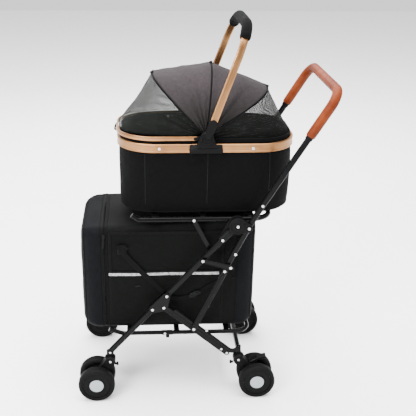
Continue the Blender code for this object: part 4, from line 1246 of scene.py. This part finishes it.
# ---------------------------------------------------------------- carry handle
def carry_handle():
    tilt = math.radians(CARRY_ANGLE)
    normal = Vector((-math.sin(tilt), 0.0, math.cos(tilt)))
    corners = [swung(CARRY_ANGLE, out, y) for out, y in ((0.022, 0.1795), (0.342, 0.164),
                                                         (0.342, -0.164), (0.022, -0.1795))]
    path = rounded_path(corners, [0.1, 0.1], 18)
    seam = 9
    ahead = (path[seam + 1] - path[seam - 1]).normalized()
    arm = fine(path[:seam + 1], 0.02)
    for side, s in SIDES:
        run = [Vector((p.x, s * p.y, p.z)) for p in arm]
        Shape().sweep(run, oval(0.0082, 0.022, 32, 2.8), normal).build(
            "carry_arm_bar_" + side, "gold", "carry_handle", cad="carry_arm_" + side)
        low = 0.1742
        hub = Shape()
        ring = mm((0, 15), (0, 19.5), (3, 20), (7.8, 20), (9.8, 18.6), (10, 16), (8.2, 15), (8.2, 11.8),
                  (9.6, 10.8), (9.6, 7), (8, 6), (8, 0.1))
        hub.turned(at_y(PIVOT, s * low), ring, 40, sense=s)
        neck = swung(CARRY_ANGLE, 0.048, 0.0)
        root = swung(CARRY_ANGLE, 0.012, 0.0)
        hub.plate(hull([(root.x, root.z, 0.012), (neck.x, neck.z, 0.0128)]), s * (low + 0.0002),
                  s * (low + 0.0104), 0.0016)
        hub.build("carry_hub_" + side, "plastic", "carry_handle")
    grip = [path[seam] - ahead * 0.002, path[seam] + ahead * 0.004] + path[seam + 1:len(path) - seam - 1]
    grip += [Vector((p.x, -p.y, p.z)) for p in grip[1::-1]]
    grip = fine(grip, 0.012)
    lumps = [1.0 + 0.02 * wave(i * 0.5, 1.3, 0.2) for i in range(len(grip))]
    lumps[0] = lumps[-1] = 0.9
    Shape().sweep(grip, rod(0.033, 32), normal, scales=lumps).build(
        "carry_grip_foam", "foam", "carry_handle", cad="carry_grip")


# ---------------------------------------------------------------- lower bag
BAG_FRONT, BAG_REAR = 0.386, -0.175
BAG_HALF, BAG_HALF_HIGH = 0.163, 0.19   # half its width and about half its height
BAG_LOW, BAG_HIGH = 0.2268, 0.608
BAG_DROP = 0.022                       # fall of the top from the rear end to the front end
BAG_END_R = (0.052, 0.046, 0.026)      # rounding of an end along X, Y and Z
BAG_EDGE_R = 0.026
FRONT_SEAM, REAR_SEAM = 0.312, -0.112


def end_round(x):
    """Inset in Y and Z of the bag's section at x, from its rounded ends."""
    run, side, top = BAG_END_R
    into = max(x - (BAG_FRONT - run), (BAG_REAR + run) - x, 0.0) / run
    share = 1.0 - math.sqrt(max(0.0, 1.0 - min(into, 1.0) ** 2))
    return side * share, top * share


def bag_high(x):
    return BAG_HIGH - BAG_DROP * min(max((x - BAG_REAR) / (BAG_FRONT - BAG_REAR), 0.0), 1.0)


def side_push(x, s, z):
    """How far a side panel stands out from its flat: belly, folds and drawn-in seams."""
    up = min(max((z - BAG_LOW) / (bag_high(x) - BAG_LOW), 0.0), 1.0)
    on = min(max((x - BAG_REAR) / (BAG_FRONT - BAG_REAR), 0.0), 1.0)
    fade = math.sin(math.pi * up) ** 0.7 * math.sin(math.pi * on) ** 0.5
    folds = 0.004 * wave(x * 7.0 + s * 3.0, z * 9.0, 2.0) + 0.0018 * wave(x * 21.0, z * 26.0, s * 5.0)
    corner = math.exp(-((x - 0.25) / 0.06) ** 2) + 0.8 * math.exp(-((x + 0.06) / 0.05) ** 2)
    drape = 0.0026 * math.sin((x * 0.9 + z * 1.7) * 80.0 + s) * corner * math.exp(-((z - 0.545) / 0.05) ** 2)
    low_ruck = 0.0012 * math.sin((x * 1.2 - z * 0.8) * 95.0) * math.exp(-((z - 0.29) / 0.045) ** 2)
    seam = sum(math.exp(-((x - at) / 0.006) ** 2) for at in (FRONT_SEAM, REAR_SEAM))
    return fade * (0.004 + folds + drape + low_ruck) - 0.0018 * seam


def top_push(x, y):
    """How far the top panel stands up: it dips between the seams and folds softly."""
    on = (x - BAG_REAR) / (BAG_FRONT - BAG_REAR)
    fade = math.sin(math.pi * min(max(on, 0.0), 1.0)) ** 0.6 * math.cos(math.pi * y / (2 * BAG_HALF)) ** 0.6
    folds = 0.0022 * wave(x * 9.0, y * 8.0, 7.0) + 0.001 * wave(x * 24.0, y * 22.0, 1.0)
    return fade * (-0.0045 + folds)


def side_y(x, s, z):
    return s * (BAG_HALF - end_round(x)[0] + side_push(x, s, z))


def section(x):
    """Closed section of the bag at x."""
    side_in, top_in = end_round(x)
    middle_z = (BAG_LOW + bag_high(x)) / 2
    half_y = BAG_HALF - side_in
    half_z = (bag_high(x) - BAG_LOW) / 2 - top_in
    points = []
    radius = BAG_EDGE_R
    for corner in CORNERS:
        points += corner_arc(half_y, half_z, radius, corner, 8)
        y, z = points[-1]
        if corner[2] in (90.0, 270.0):
            points += [(y, z * (1 - 2 * k / 34)) for k in range(1, 34)]
        else:
            points += [(y * (1 - 2 * k / 26), z) for k in range(1, 26)]
    ring = []
    for y, z in points:
        side_share = min(1.0, max(0.0, (abs(y) - (half_y - radius)) / radius))
        top_share = min(1.0, max(0.0, (abs(z) - (half_z - radius)) / radius))
        s = 1.0 if y > 0 else -1.0
        out_y = s * side_push(x, s, middle_z + z) * side_share
        out_z = top_push(x, y) * top_share if z > 0 else 0.0
        ring.append((x, y + out_y, middle_z + (z + out_z)))
    return ring


def end_bulge(part, y, z, s):
    """How far an end panel stands out, at part of the way from its edge to the middle."""
    return (0.005 * part + 0.0022 * part * wave(y * 11.0, z * 8.0, s * 4.0)
            + 0.0014 * part * wave(y * 28.0, z * 25.0, s * 6.0))


def bag_shell():
    run = BAG_END_R[0]
    stations = [BAG_REAR + run - run * math.sin(math.radians(a)) for a in range(90, 0, -9)]
    body_run = BAG_FRONT - BAG_REAR - 2 * run
    stations += [BAG_REAR + run + body_run * k / 70 for k in range(71)]
    stations += [BAG_FRONT - run + run * math.sin(math.radians(a)) for a in range(9, 91, 9)]
    parts = {"side": (REAR_SEAM, FRONT_SEAM), "front": (FRONT_SEAM, 1.0), "rear": (-1.0, REAR_SEAM)}
    for name, (low, high) in parts.items():
        xs = sorted({x for x in stations if low < x < high} | {x for x in (low, high) if abs(x) < 0.9})
        rings = [section(x) for x in xs]
        if name != "side":
            s = 1.0 if name == "front" else -1.0
            edge = rings[-1] if name == "front" else rings[0]
            middle_z = (BAG_LOW + bag_high(BAG_FRONT if s > 0 else BAG_REAR)) / 2
            inner = []
            for part in (0.06, 0.15, 0.27, 0.4, 0.54, 0.68, 0.81, 0.92, 0.985):
                ring = []
                for x, y, z in edge:
                    py, pz = y * (1 - part), middle_z + (z - middle_z) * (1 - part)
                    ring.append((x + s * end_bulge(min(1.0, part * 2.2), py, pz, s), py, pz))
                inner.append(ring)
            rings = rings + inner if name == "front" else inner[::-1] + rings
        look, node = ("bag", "lower_bag") if name == "side" else ("bag_end", None)
        Shape().rings(rings).build("bag_" + name, look, "chassis", 180.0, node)


def slab(shape, s, x0, x1, z0, z1, low, high, nx=40, nz=8):
    """A thin panel laid on a side of the bag, from low to high above its cloth."""
    rings = []
    for i in range(nx + 1):
        x = x0 + (x1 - x0) * i / nx
        heights = [z0 + (z1 - z0) * k / nz for k in range(nz + 1)]
        edge = 0.3 if i in (0, nx) else 1.0
        outer = [(x, side_y(x, s, z) + s * (low + (high - low) * edge * (0.4 if k in (0, nz) else 1.0)), z)
                 for k, z in enumerate(heights)]
        inner = [(x, side_y(x, s, z) + s * low, z) for z in heights[::-1]]
        rings.append(outer + inner)
    shape.rings(rings)


def on_side(s, places, lift):
    """Points on the side cloth through (x, z) places, lifted off it."""
    run = curve_through([Vector((x, 0.0, z)) for x, z in places], 10)
    return [Vector((p.x, side_y(p.x, s, p.z) + s * lift, p.z)) for p in run]


def bag_fittings():
    """Zip round the front panel, piping, reflective tape, net pocket, straps and buckle."""
    ring = [Vector(p) for p in section(FRONT_SEAM)]
    middle = Vector((FRONT_SEAM, 0.0, (BAG_LOW + bag_high(FRONT_SEAM)) / 2))
    upper = sorted((p for p in ring if p.z > BAG_LOW + 0.012),
                   key=lambda p: math.atan2(p.z - middle.z + BAG_HALF_HIGH, p.y))
    line = fine(upper, 0.0022)
    outward = [Vector((0.0, p.y / BAG_HALF ** 2, (p.z - middle.z) / BAG_HALF_HIGH ** 2)).normalized()
               for p in line]
    tape = Shape()
    rows = []
    for p, n in zip(line, outward):
        rows.append([p + Vector((x, 0, 0)) + n * up for x, up in (
            (-0.0105, 0.0004), (-0.0095, 0.0012), (0.0095, 0.0012), (0.0105, 0.0004), (0.0095, -0.0006),
            (-0.0095, -0.0006))])
    tape.rings(rows)
    tape.build("bag_zip_tape", "zip")
    coil = Shape()
    for i in range(2, len(line) - 2):
        p, n = line[i], outward[i]
        lean = 0.0016 if i % 2 else -0.0016
        coil.sweep([p + n * 0.0022 + Vector((-0.0018 + lean * 0.3, 0, 0)), p + n * 0.0034,
                    p + n * 0.0022 + Vector((0.0018 + lean * 0.3, 0, 0))], rod(0.0013, 6), (0, 0.7, 0.7))
    coil.build("bag_zip_coil", "gloss_plastic", slot="bag_fabric")
    edges = Shape()
    for seam in (REAR_SEAM, FRONT_SEAM - 0.012, FRONT_SEAM + 0.012):
        edges.sweep(section(seam), rod(0.0024, 10), (1, 0, 0), looped=True)
    for end in (BAG_FRONT - 0.01, BAG_REAR + 0.01):
        edges.sweep(section(end), rod(0.0034, 10), (1, 0, 0), looped=True)
    edges.build("bag_piping", "piping", "chassis", 180.0, slot="bag_fabric")
    pull = Shape()
    for s in (1.0, -1.0):
        y = side_y(FRONT_SEAM, s, 0.56)
        pull.box((FRONT_SEAM - 0.005, y + s * 0.0012, 0.554), (FRONT_SEAM + 0.005, y + s * 0.0062, 0.568))
        pull.plate(hull([(FRONT_SEAM, 0.553, 0.0032), (FRONT_SEAM + 0.002, 0.524, 0.0042)]),
                   y + s * 0.005, y + s * 0.0068)
        y2 = side_y(0.2055, s, 0.39)
        pull.plate(hull([(0.201, 0.3905, 0.0026), (0.212, 0.389, 0.002)]), y2 + s * 0.0046, y2 + s * 0.0062)
    pull.build("bag_zip_pullers", "gloss_plastic", slot="bag_fabric")
    for side, s in SIDES:
        tape = Shape()
        slab(tape, s, -0.055, 0.298, 0.4268, 0.4358, 0.0034, 0.0044, 60, 2)
        tape.build("reflective_tape_" + side, "silver", "chassis", 60.0)
        net = Shape()
        slab(net, s, -0.062, 0.296, 0.256, 0.424, 0.0014, 0.0034, 60, 26)
        net.build("bag_pocket_net_" + side, "bag", "chassis", 60.0)
        hems = Shape()
        slab(hems, s, -0.064, 0.298, 0.42, 0.442, 0.0012, 0.0034, 60, 4)
        slab(hems, s, -0.064, 0.298, 0.25, 0.259, 0.0012, 0.003, 60, 2)
        slab(hems, s, 0.288, 0.2985, 0.25, 0.578, 0.0012, 0.0026, 4, 50)
        slab(hems, s, -0.072, -0.062, 0.25, 0.578, 0.0012, 0.0026, 4, 50)
        slab(hems, s, -0.064, 0.298, 0.568, 0.578, 0.0012, 0.0028, 60, 2)
        hems.build("bag_bindings_" + side, "piping", "chassis", 60.0, slot="bag_fabric")
        straps = Shape()
        flat = soft_box(0.018, 0.0014, 0.0005, 2)
        straps.sweep(on_side(s, mm((260.5, 518), (228, 480), (190, 437), (155, 399), (120, 362),
                                   (106, 350)), 0.0058), flat)
        thin = soft_box(0.014, 0.0014, 0.0005, 2)
        straps.sweep(on_side(s, mm((111, 354), (95.6, 347), (70, 344), (46, 348), (30, 354)), 0.0066), thin)
        straps.sweep(on_side(s, mm((12, 362), (-4, 372), (-21.2, 385), (-48, 399)),
                             0.0062), thin)
        straps.sweep(on_side(s, mm((270, 525), (250, 529), (238, 520)), 0.0072), thin)
        slab(straps, s, 0.239, 0.27, 0.502, 0.533, 0.003, 0.0086, 6, 6)
        straps.build("bag_straps_" + side, "strap", "chassis", 60.0)
        buckle = Shape()
        y = side_y(0.021, s, 0.357) + s * 0.0048
        outline = hull([(0.033, 0.353, 0.009), (0.01, 0.364, 0.008)])
        buckle.plate(outline, y, y + s * 0.006, 0.0016)
        buckle.plate(hull([(0.027, 0.356, 0.0045), (0.016, 0.361, 0.0045)]), y + s * 0.0056, y + s * 0.0074,
                     0.0008)
        for tip in ((0.0215, 0.369), (0.0215, 0.3475)):
            buckle.plate(hull([(*tip, 0.003), (0.0215, 0.358, 0.004)]), y + s * 0.0006, y + s * 0.0052)
        buckle.build("bag_buckle_" + side, "gloss_plastic", slot="bag_fabric")
        snaps = Shape()
        place = (-0.1034, 0.4111)
        rivet_into(snaps, place, side_y(place[0], s, place[1]) + s * 0.001, s, 0.0032, 0.0016)
        snaps.build("bag_snaps_" + side, "hub", slot="bag_fabric")


# ---------------------------------------------------------------- build
camera()
studio()
front_legs()
fold_hinges()
brackets_and_bars()
push_handle()
rear_legs()
racks()
casters()
carrier_body()
carrier_rim()
pivot_blocks()
carrier_pad()
canopy()
lid_bow()
carry_handle()
bag_shell()
bag_fittings()
